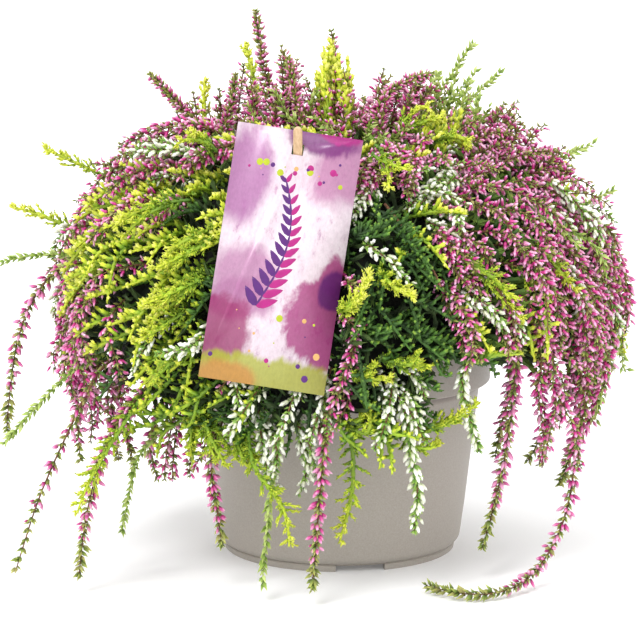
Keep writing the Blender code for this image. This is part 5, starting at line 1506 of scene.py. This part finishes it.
def build_stake():
    """The flat stake: a rounded rectangle carried along its length, narrower at its foot.

    Its top is a half circle: near it the width falls as the root of 1 less the share squared.
    """
    slit = from_label(0.0, 0.0, LABEL_HEIGHT / 2 - SLIT_BELOW_TOP)
    along = unit(slit - STAKE_FOOT)
    top = slit + along * STAKE_ABOVE_SLIT
    length = np.linalg.norm(top - STAKE_FOOT)
    across = unit(LABEL_TURN[:, 0] - (LABEL_TURN[:, 0] @ along) * along)
    through = np.cross(along, across)
    half = STAKE_WIDTH / 2
    round_end = length - half + half * np.sin(np.radians(np.linspace(0.0, 88.0, 10)))
    straight = np.linspace(12.0, length - half - 1.0, 8)
    distance = np.concatenate([[0.0, 4.0, 8.0], straight, round_end])
    width = np.interp(distance, [0.0, 8.0], [0.5 * half, half])
    near_top = np.clip((distance - (length - half)) / half, 0.0, 1.0)
    width = width * np.sqrt(1.0 - near_top**2 + 1e-4)
    turn = 2.0 * np.pi * (np.arange(STAKE_SIDES) + 0.5) / STAKE_SIDES
    ring_x = np.sign(np.cos(turn)) * np.abs(np.cos(turn)) ** 0.35
    ring_y = np.sign(np.sin(turn)) * np.abs(np.sin(turn)) ** 0.35 * STAKE_THICKNESS / 2
    rings = (
        STAKE_FOOT
        + distance[:, None, None] * along
        + (width[:, None] * ring_x)[..., None] * across
        + (ring_y[None, :, None] * through)
    )
    made = Growth()
    points = np.vstack([[STAKE_FOOT], rings.reshape(-1, 3), [top]])
    made.add(points, closed_faces(len(distance), STAKE_SIDES), 0, plain_tints(points))
    node = "label_stake"
    piece = make_piece("label_stake_planed", made, [finish("wood")], (node,))
    shade_by_angle(piece, CRISP_STAKE_ANGLE)


def wedge_sides(first, last, points):
    """Moves the first and last column of a wedge's points in from its side walls."""
    for column, azimuth, sign in ((0, first, 90.0), (-1, last, -90.0)):
        points[:, column] += WEDGE_GAP / 2 * about_axis(1.0, azimuth + sign, 0.0)
    return points


def core_surface(growth, first, last, inset):
    """The heart of a bush: its section from top to axis, carried from one side wall to the other.

    The section is the crown drawn in by the inset down to the heart's depth, then the inside
    and the underside. Below it only shoots hang.
    """
    azimuth = np.linspace(first, last, HEART_COLUMNS)
    angles = np.linspace(84.0, LAST_ROW_ANGLE, HEART_ROWS)
    grid_azimuth, grid_angle = np.meshgrid(azimuth, angles)
    outside = crown_surface(grid_azimuth, grid_angle, inset)
    lift = 1.2 * np.sin(0.9 * grid_azimuth + 2.0 * grid_angle) * np.sin(0.7 * grid_angle)
    outside[..., 2] += lift * (grid_angle < 80.0)
    outside[..., 2] = np.maximum(outside[..., 2], heart_edge(grid_azimuth))
    outside = behind_label(outside, *HEART_LABEL_ROOM)
    lip = np.minimum(outside[-1, :, 2] + INNER_LIP, UNDERSIDE - UNDERSIDE_STEP)
    inside = np.stack(
        [
            about_axis(INNER_RADIUS, azimuth, lip),
            about_axis(INNER_RADIUS, azimuth, UNDERSIDE),
            about_axis(UNDERSIDE_RADIUS, azimuth, UNDERSIDE),
        ]
    )
    rows = wedge_sides(first, last, np.concatenate([outside, inside]))
    middle = math.radians((first + last) / 2)
    apart = WEDGE_GAP / 2 / math.sin(math.radians((last - first) / 2))
    axis = np.array([apart * math.cos(middle), apart * math.sin(middle), 0.0])
    top = axis + [0.0, 0.0, CROWN_LEVEL + CROWN_RISE - inset]
    bottom = axis + [0.0, 0.0, UNDERSIDE]
    count, columns = rows.shape[:2]
    points = np.vstack([[top], rows.reshape(-1, 3), [bottom]])
    number = 1 + np.arange(count * columns).reshape(count, columns)
    a, b, c, d = number[:-1, :-1], number[:-1, 1:], number[1:, 1:], number[1:, :-1]
    faces = [np.stack([a, d, c], -1).reshape(-1, 3), np.stack([a, c, b], -1).reshape(-1, 3)]
    end = len(points) - 1
    faces.append(np.stack([0 * number[0, 1:], number[0, :-1], number[0, 1:]], -1))
    faces.append(np.stack([0 * number[0, 1:] + end, number[-1, 1:], number[-1, :-1]], -1))
    heart = axis + [0.0, 0.0, (CROWN_LEVEL + UNDERSIDE) / 2]
    points = np.vstack([points, [heart]])
    for column, sign in ((0, 1), (columns - 1, -1)):
        loop = np.concatenate([[0], number[:, column], [end]])
        side = np.stack([0 * loop[1:] + end + 1, loop[:-1], loop[1:]], -1)
        faces.append(side[:, ::sign])
    faces.append(np.array([[end + 1, end, 0], [end + 1, 0, end]]))
    growth.add(points, np.vstack(faces), 0, plain_tints(points))


def even_roots(spacing, seed, back_share):
    """Places spread evenly over the crown, as azimuth and angle, each moved a little by chance.

    At the back only a share of them is kept, and none stands below the heart.
    """
    rng = np.random.default_rng(seed)
    fine = np.linspace(87.0, LAST_ROW_ANGLE - 3.0, 700)
    section = crown_surface(np.zeros(fine.shape), fine)
    walked = np.concatenate([[0.0], np.cumsum(np.linalg.norm(np.diff(section, axis=0), axis=1))])
    rows = np.interp(np.arange(0.0, walked[-1], spacing), walked, fine)
    azimuths, angles = [], []
    for row in rows:
        radius = float(np.linalg.norm(crown_surface(np.zeros(1), np.array([row]))[0, :2]))
        count = max(int(round(2.0 * math.pi * radius / spacing)), 3)
        turn = (np.arange(count) + rng.uniform(-0.38, 0.38, count) + rng.uniform()) * 360.0 / count
        azimuths.append((turn + 180.0) % 360.0 - 180.0)
        angles.append(np.clip(row + rng.uniform(-2.2, 2.2, count), LAST_ROW_ANGLE - 3.0, 88.0))
    azimuth, angle = np.concatenate(azimuths), np.concatenate(angles)
    first, last = BACK_AZIMUTHS
    behind = (azimuth > first + 10.0) & (azimuth < last - 10.0) & (angle < 60.0)
    kept = ~behind | (rng.uniform(size=len(azimuth)) < back_share)
    kept &= crown_surface(azimuth, angle)[:, 2] > heart_edge(azimuth)
    return azimuth[kept], angle[kept]


def bush_of(azimuth):
    """Number of the bush whose wedge holds each azimuth."""
    start = BUSHES[0][1]
    ends = [last - start for _, _, last in BUSHES]
    return np.digitize((azimuth - start) % 360.0, ends[:-1])


def fall_line(points, normal, turn, fall):
    """The way that a shoot lies on the crown: outwards at the top, down at the sides, then turned.

    It also leads away from the middle of the front, to the left and to the right.
    """
    out = unit(points * FLAT)
    steep = np.clip(1.15 - normal[..., 2:], 0.0, 1.0)
    way = out * (1.0 - 0.6 * steep) - fall * UP * steep
    way = way + np.array([SIDEWAYS / CROWN_RADIUS, 0.0, 0.0]) * points[..., :1]
    way = unit(way - np.sum(way * normal, axis=-1, keepdims=True) * normal)
    beside = np.cross(normal, way)
    return way * np.cos(turn)[..., None] + beside * np.sin(turn)[..., None]


def lay_shoots(azimuth, angle, length, lying, lift, turn, fall, steps):
    """Routes of the crown's shoots, all at once, one step at a time.

    A shoot leaves the crown outwards, then each step turns it towards the fall line and
    towards its lying height above the crown, with its tip lifted from there. It is kept off
    the label and the pot.
    """
    place = crown_surface(azimuth, angle)
    normal = crown_place(place)[3]
    way = unit(normal + 0.35 * fall_line(place, normal, turn, fall))
    place = place - ROOT_DEPTH * normal
    routes = [place]
    step = (length / (steps - 1))[:, None]
    for number in range(1, steps):
        share = number / (steps - 1)
        _, _, height, normal = crown_place(place)
        target = lying * smooth_step(share / 0.35) + lift * share**2
        wish = fall_line(place, normal, turn, fall)
        wish = wish + normal * np.clip((target - height) / 6.0, -1.0, 1.0)[:, None]
        way = unit(STIFFNESS * way + (1.0 - STIFFNESS) * unit(wish))
        place = place + way * step
        radius = np.linalg.norm(place[:, :2], axis=1, keepdims=True)
        beside_pot = place[:, 2:] < POT_HEIGHT + RIM_ROOM
        wanted = np.where(beside_pot, np.maximum(radius, BAND_TOP_RADIUS + POT_ROOM), radius)
        place = place * np.concatenate([wanted / radius, wanted / radius, np.ones_like(radius)], 1)
        place = behind_label(place, *LABEL_ROOM)
        routes.append(place)
    return np.stack(routes, axis=1)


def hem(azimuth, ease):
    """Lowest height of the crown's shoots: near the skirt's edge, lower by the given ease.

    Where the skirt opens, the ease counts less and the hem is higher.
    """
    depth = skirt_depth(azimuth)
    share = np.clip(depth / SKIRT_DEPTH, 0.0, 1.0)
    return CROWN_LEVEL - 0.93 * depth - ease * share + 12.0 * (1.0 - share)


def cut_at_hem(route, ease):
    """The route up to where it first hangs below the hem, or none of it if hardly any is left."""
    azimuth = np.degrees(np.arctan2(route[:, 1], route[:, 0]))
    below = np.flatnonzero(route[:, 2] < hem(azimuth, ease))
    if len(below) == 0:
        return route
    return even_route(route[: below[0]], ROUTE_SPACING) if below[0] > 5 else None


def bent_line(start, bend, end, share):
    """A curve of the second degree in its share from start to end, drawn towards the bend."""
    return (1 - share) ** 2 * start + 2 * share * (1 - share) * bend + share**2 * end


def crest_routes(rng):
    """Kinds and routes of the shoots that stand on the crown's top and of the laid ones.

    A standing one rises from the crown's dome and sways a little. A laid one passes its three
    points. The last item of each tells whether it is a laid one.
    """
    share = np.linspace(0.0, 1.0, CURVE_POINTS)[:, None]
    made = []
    for kind, count, middle, spread, tip, tip_spread in CREST:
        for _ in range(count):
            foot = np.array(middle) + rng.uniform(-1.0, 1.0, 2) * spread
            end = np.array(tip) + rng.uniform(-1.0, 1.0, 3) * tip_spread
            end[:2] += 0.75 * (foot - middle)
            start = np.array([*foot, 0.0])
            start[2] = CROWN_LEVEL + CROWN_RISE - 9.0 - 0.0042 * float(foot @ foot)
            bend = start + 0.55 * (end - start) * [0.35, 0.35, 1.25]
            curve = bent_line(start, bend, end, share)
            curve += 0.8 * np.sin(3.0 * share + rng.uniform(0.0, 6.0)) * [1.0, 0.6, 0.0]
            made.append((kind, even_route(curve, ROUTE_SPACING), False))
    for kind, count, *passed in LAID:
        for _ in range(count):
            start, middle, end = passed + rng.uniform(-1.0, 1.0, (3, 3)) * LAID_SPREAD
            curve = bent_line(start, 2 * middle - 0.5 * (start + end), end, share)
            curve = behind_label(curve, *LAID_LABEL_ROOM)
            made.append((kind, even_route(curve, ROUTE_SPACING), True))
    return made


def chosen_kinds(azimuth, angle, rng):
    """Number of the kind of heather that holds each root, with some chance in it."""
    scores = heather_scores(azimuth, angle - SHOWN_BELOW_ROOT)
    table = np.stack([scores[kind] for kind in SHOOTS], axis=1)
    table = table * np.exp(SCORE_SPREAD * rng.normal(size=table.shape))
    return np.argmax(table, axis=1)


def mass_routes(kind, azimuth, angle, hanging, rng):
    """Routes of one kind's shoots in the crown's mass, None for those that the hem leaves out.

    Shoots at the top are shorter and stand higher and more upright. Of those that hang loose
    at the sides, pink and green ones are drawn out downwards by chance.
    """
    lengths, longer_low, (lying, spread), lifts, widest, fall = SHOOTS[kind]
    count = len(azimuth)
    low = np.clip((LOW_BELOW - angle) / LOW_FADE, 0.0, 1.0)
    high = smooth_step((angle - HIGH_ABOVE) / HIGH_FADE)
    length = rng.uniform(*lengths, count) * (1.0 + longer_low * low) * (1.0 - 0.25 * high)
    lift = rng.uniform(*lifts, count) + HIGH_LIFT * high
    turn = np.radians(rng.uniform(-widest, widest, count))
    lying = rng.normal(lying, spread, count) + HIGH_LIFT * high - 3.0 * low * hanging
    drop = rng.uniform(0.0, 1.0, count) ** 2 * hanging * (kind in ("rose", "green"))
    length = length * (1.0 + 0.5 * drop)
    ease = rng.uniform(0.0, HEM_EASE, count) + LOOSE_DROP * drop
    fall = np.full((count, 1), fall)
    routes = lay_shoots(azimuth, angle, length, lying, lift, turn, fall, SHOOT_STEPS)
    return [cut_at_hem(route, below) for route, below in zip(routes, ease)]


def build_crown(flowers, crown):
    """All the crown's shoots, one piece for each bush and kind, and then the bushes' hearts.

    Placed shoots draw their chance from a source of their own, so they don't stir the mass.
    """
    rng = np.random.default_rng(crown.seed)
    azimuth, angle = even_roots(crown.spacing / MM, crown.seed, BACK_SHOOTS)
    chosen = chosen_kinds(azimuth, angle, rng)
    bush = bush_of(azimuth)
    hanging = (looseness(azimuth) > 0.5) & (angle < LOOSE_BELOW)
    chosen[hanging & (rng.uniform(size=len(azimuth)) < LOOSE_GAPS)] = -1
    placed_rng = np.random.default_rng(crown.seed + 2)
    placed = crest_routes(placed_rng)
    for number, kind in enumerate(SHOOTS):
        mine = np.flatnonzero(chosen == number)
        routes = mass_routes(kind, azimuth[mine], angle[mine], hanging[mine], rng)
        for index, (node, _, _) in enumerate(BUSHES):
            growth = Growth()
            for sort, route, laid in placed:
                around = np.degrees(np.arctan2(route[0, 1], route[0, 0]))
                if sort == kind and bush_of(around) == index:
                    fine = laid and kind == "gold"
                    grow_shoot(growth, kind, Stem(route), flowers, placed_rng, fine, 0.4)
            for k in np.flatnonzero(bush[mine] == index):
                if routes[k] is None:
                    continue
                fuller = BACK_FULLNESS if routes[k][0, 1] > FULLER_BEHIND else 1.0
                grow_shoot(growth, kind, Stem(routes[k]), flowers, rng, False, 1.0, 1.0, fuller)
            if kind == "rose" and node == "bush_rose":
                for passed in TWIGS:
                    twig = Stem(rounded_route(np.array(passed, float), 2.0))
                    bare_stem(growth, twig, 1.2, 0.8, 2, rng, 2.0)
            if growth.count:
                make_shoots(f"{node}_{kind}_shoots", growth, kind, node)
    build_hearts(crown, rng)


def make_shoots(name, growth, kind, node):
    """A piece of shoots of one kind with that kind's finishes, in the place of a node."""
    _, names, crisp = KINDS[kind]
    if node.startswith("spray_"):
        # Single sprays get the pink petals with painted shade
        names = ["rose spray petal in painted shade" if each == "rose petal" else each for each in names]
    make_piece(name, growth, [finish(each) for each in names], (node,), crisp)


def grow_shoot(growth, kind, stem, flowers, rng, fine, bare, loose=1.0, small=1.0):
    """One shoot of the given kind on a stem, whose bare foot is a share of the usual.

    Pink sprays that hang end in leaves, and others bear buds to the tip. Golden plumes are
    brighter the higher they are rooted, with some chance in it, so that the low ones are in painted
    shade.
    """
    if kind in ("rose", "white") and fine:
        rises = stem.route[-1, 2] > stem.route[0, 2]
        tail = 1.0 if rises or kind == "white" else max(0.24 * stem.length - 7.0, 3.0)
        flowering_stem(growth, stem, kind, flowers, rng, True, 9.0 * bare, tail, loose, small)
        bare_stem(growth, stem, 1.2, 0.5, 2, rng, 2.0)
    elif kind in ("rose", "white"):
        foot = 0.24 * bare * stem.length
        flowering_stem(growth, stem, kind, flowers, rng, False, foot, 0.0, loose, small)
        bare_stem(growth, stem, 0.9, 0.5, 2, rng, 4.0, 4)
    elif kind == "gold":
        # Painted shade: plumes rooted lower are darker and greener
        high = float(smooth_step((stem.route[0, 2] - 84.0) / 36.0))
        bright = 0.4 + 0.6 * max(high, 0.6 * fine) + rng.uniform(-0.1, 0.25)
        rise = 0.5 if fine else 1.5
        reach = 7.4 if fine else 6.6
        plume(growth, stem, flowers, rng, fine, reach, rise, 5.0 * bare, 1.0, bright)
    elif kind == "deep":
        plume(growth, stem, flowers, rng, fine, 6.2, 1.4, 4.0 * bare, 0.85)
    else:
        green_shoot(growth, stem, flowers, rng, fine)
        bare_stem(growth, stem, 1.0, 0.5, 0, rng, 2.5)


def build_hearts(crown, rng):
    """The shaded heart of each bush, with short inner twigs all over it, and its knotty trunk.

    The gold bush, whose shoots stand close, has a heart of nearly black painted shade, and the
    others a leafy one painted in shaded greens.
    """
    azimuth, angle = even_roots(crown.twig_spacing / MM, crown.seed + 1, BACK_TWIGS)
    count = len(azimuth)
    length = rng.uniform(11.0, 17.0, count)
    turn = rng.uniform(-np.pi, np.pi, count)
    low = angle < -30.0
    length = np.where(low, 0.75 * length, length)
    skirt = np.clip(skirt_depth(azimuth) / SKIRT_DEPTH, 0.3, 1.0)
    length = length * np.where(angle < 0.0, skirt, 1.0)
    lying = rng.uniform(2.0, 5.5, count)
    fall = np.full((count, 1), 0.6)
    routes = lay_shoots(azimuth, angle, length, lying, 3.0 + 0.0 * length, turn, fall, 5)
    bush = bush_of(azimuth)
    for index, (node, first, last) in enumerate(BUSHES):
        growth = Growth()
        core_surface(growth, first, last, HEART_INSET)
        mine = bush == index
        leafy = node != "bush_gold"
        thick = 1.6 if leafy else 1.15
        scaly(growth, routes[mine], thick, 1, rng, rng.uniform(0.2, 1.0, int(mine.sum())))
        middle = (first + last) / 2
        foot = about_axis(TRUNK_RING_RADIUS, middle, TRUNK_FOOT)
        height = np.linspace(0.0, UNDERSIDE + 6.0 - TRUNK_FOOT, 9)
        route = foot + height[:, None] * UP
        knots = TRUNK_RADIUS + 0.25 * np.sin(height * 1.3)
        sweep(growth, route[None], knots[None], 2, 14, np.full(1, 0.5), np.ones(1))
        # Heart and inner twigs carry painted shade: nearly black in the gold bush, shaded greens in
        # the others
        names = ("leafy core", "leafy twigs", "bark") if leafy else ("core", "core twigs", "bark")
        finishes = [finish(name) for name in names]
        make_piece(f"{node}_heart", growth, finishes, (node,), (1,))


def centre_line(node):
    """Middle line of a CAD spray from its root to its tip.

    The mesh's points are merged, each ring is as many edges from the root's cap as its number,
    and its middle is the mean of its points. The root is the end nearer to the crown's middle.
    """
    mesh = frame["nodes"][node].data
    points = np.empty(len(mesh.vertices) * 3)
    mesh.vertices.foreach_get("co", points)
    mesh.calc_loop_triangles()
    corners = np.empty(len(mesh.loop_triangles) * 3, np.int32)
    mesh.loop_triangles.foreach_get("vertices", corners)
    points = points.reshape(-1, 3) / MM - AXIS
    _, kept, merged = np.unique(np.round(points, 3), axis=0, return_index=True, return_inverse=True)
    points = points[kept]
    corners = merged.ravel()[corners].reshape(-1, 3)
    edges = np.vstack([corners[:, [0, 1]], corners[:, [1, 2]], corners[:, [2, 0]]])
    edges = np.vstack([edges, edges[:, ::-1]])

    def rings_from(start):
        """Number of edges from the starting points to each point."""
        level = np.where(start, 0, -1)
        depth = 0
        while (level == depth).any():
            near = np.zeros(len(points), bool)
            near[edges[level[edges[:, 0]] == depth, 1]] = True
            depth += 1
            level[near & (level < 0)] = depth
        return level

    def cap_at(level):
        """Points of the end cap around the point furthest away."""
        end = points[np.argmax(level)]
        return np.linalg.norm(points - end, axis=1) < 2.0

    caps = [cap_at(rings_from(np.arange(len(points)) == 0))]
    caps.append(cap_at(rings_from(caps[0])))
    away = [np.linalg.norm(points[cap].mean(axis=0) - [0.0, 0.0, CROWN_LEVEL]) for cap in caps]
    level = rings_from(caps[int(np.argmin(away))])
    return np.array([points[level == depth].mean(axis=0) for depth in range(level.max() + 1)])


def build_sprays(flowers):
    """A fine spray along the middle line of each CAD spray, in that spray's own kind."""
    rng = np.random.default_rng(SPRAY_SEED)
    slots = {row["node"]: row["material_slot"] for row in frame["record"]["subparts"]}
    for node in sorted(frame["nodes"]):
        if not node.startswith("spray_"):
            continue
        kind = slots[node]
        growth = Growth()
        stem = Stem(rounded_route(centre_line(node), 1.0))
        grow_shoot(growth, kind, stem, flowers, rng, True, 1.0, *SPRAY_SHARES.get(node, (1.0, 1.0)))
        for points in growth.points:
            points[:, 2] = np.maximum(points[:, 2], ABOVE_FLOOR)
        make_shoots(f"fine_{node}", growth, kind, node)


def build_soil():
    """The soil keeps its solid and gets its finish."""
    node = frame["nodes"]["soil"]
    node.data.materials.clear()
    node.data.materials.append(finish("soil"))


def build_stage(settings):
    """A pale floor, a white sky, a large soft lamp and the camera at the photograph's place."""
    scene = bpy.context.scene
    floor_mesh = bpy.data.meshes.new("floor")
    corners = np.array([(-1, -1, 0), (1, -1, 0), (1, 1, 0), (-1, 1, 0)]) * FLOOR_SIZE / 2
    floor_mesh.from_pydata(corners.tolist(), [], [(0, 1, 2, 3)])
    floor = bpy.data.objects.new("floor", floor_mesh)
    scene.collection.objects.link(floor)
    made, _, shader = new_finish("pale studio floor", 0.9)
    shader.inputs["Base Color"].default_value = (*settings.floor_colour, 1.0)
    shader.inputs["Emission Color"].default_value = (1.0, 1.0, 1.0, 1.0)
    shader.inputs["Emission Strength"].default_value = settings.floor_glow
    floor_mesh.materials.append(made)
    world = bpy.data.worlds.new("white sky")
    world.use_nodes = True
    background = world.node_tree.nodes["Background"]
    background.inputs["Color"].default_value = (1.0, 1.0, 1.0, 1.0)
    background.inputs["Strength"].default_value = settings.sky_strength
    scene.world = world
    for name, way, softness, share in LAMPS:
        lamp = bpy.data.lights.new(name, "SUN")
        lamp.angle = math.radians(softness)
        lamp.energy = settings.lamp_strength * share
        obj = bpy.data.objects.new(name, lamp)
        scene.collection.objects.link(obj)
        obj.rotation_euler = Vector(-np.array(way)).to_track_quat("-Z", "Y").to_euler()
    camera = bpy.data.cameras.new("camera")
    camera.lens = LENS
    camera.sensor_width = SENSOR_WIDTH
    camera.clip_end = SEEN_AS_FAR_AS
    eye = bpy.data.objects.new("camera", camera)
    scene.collection.objects.link(eye)
    eye.location = (AXIS + [0.0, -CAMERA_DISTANCE, CAMERA_HEIGHT]) * MM
    eye.rotation_euler = (math.radians(90.0 - CAMERA_DIP), 0.0, math.radians(CAMERA_TURN))
    scene.camera = eye
    scene.view_settings.view_transform = "Standard"


# Operators


class HEATHER_OT_pot(bpy.types.Operator):
    """Turns the moulded pot and finishes its soil"""

    bl_idname = "heather.pot"
    bl_label = "Pot and soil"

    def execute(self, context):
        build_pot(context.scene.heather_pot)
        build_soil()
        return {"FINISHED"}


class HEATHER_OT_label(bpy.types.Operator):
    """Prints the card label and planes its stake"""

    bl_idname = "heather.label"
    bl_label = "Label and stake"

    def execute(self, context):
        build_label()
        build_stake()
        return {"FINISHED"}


class HEATHER_OT_crown(bpy.types.Operator):
    """Grows the crown's shoots and the bushes' hearts"""

    bl_idname = "heather.crown"
    bl_label = "Crown"

    def execute(self, context):
        build_crown(context.scene.heather_flowers, context.scene.heather_crown)
        return {"FINISHED"}


class HEATHER_OT_sprays(bpy.types.Operator):
    """Grows a fine spray along each single spray of the frame"""

    bl_idname = "heather.sprays"
    bl_label = "Sprays"

    def execute(self, context):
        build_sprays(context.scene.heather_flowers)
        return {"FINISHED"}


class HEATHER_OT_stage(bpy.types.Operator):
    """Sets the floor, the light and the camera"""

    bl_idname = "heather.stage"
    bl_label = "Stage"

    def execute(self, context):
        build_stage(context.scene.heather_stage)
        return {"FINISHED"}


class HEATHER_PT_panel(bpy.types.Panel):
    """Buttons for the pieces in the sidebar of the 3D view"""

    bl_label = "Heather"
    bl_space_type = "VIEW_3D"
    bl_region_type = "UI"
    bl_category = "Heather"

    def draw(self, context):
        for made in OPERATORS:
            self.layout.operator(made.bl_idname)


OPERATORS = (
    HEATHER_OT_pot, HEATHER_OT_label, HEATHER_OT_crown, HEATHER_OT_sprays, HEATHER_OT_stage
)
GROUPS = {
    "heather_flowers": HeatherFlowers,
    "heather_crown": HeatherCrown,
    "heather_pot": HeatherPot,
    "heather_stage": HeatherStage,
}


def register():
    """Registers the classes and hangs their settings on the scene."""
    for made in (*GROUPS.values(), *OPERATORS, HEATHER_PT_panel):
        bpy.utils.register_class(made)
    for name, group in GROUPS.items():
        setattr(bpy.types.Scene, name, PointerProperty(type=group))


def unregister():
    """Undoes what register has done."""
    for name in GROUPS:
        delattr(bpy.types.Scene, name)
    for made in (HEATHER_PT_panel, *reversed(OPERATORS), *reversed(GROUPS.values())):
        bpy.utils.unregister_class(made)


def main():
    """Makes every piece and the stage."""
    register()
    bpy.ops.heather.pot()
    bpy.ops.heather.label()
    bpy.ops.heather.crown()
    bpy.ops.heather.sprays()
    bpy.ops.heather.stage()
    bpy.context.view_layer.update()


if __name__ == "__main__":
    main()
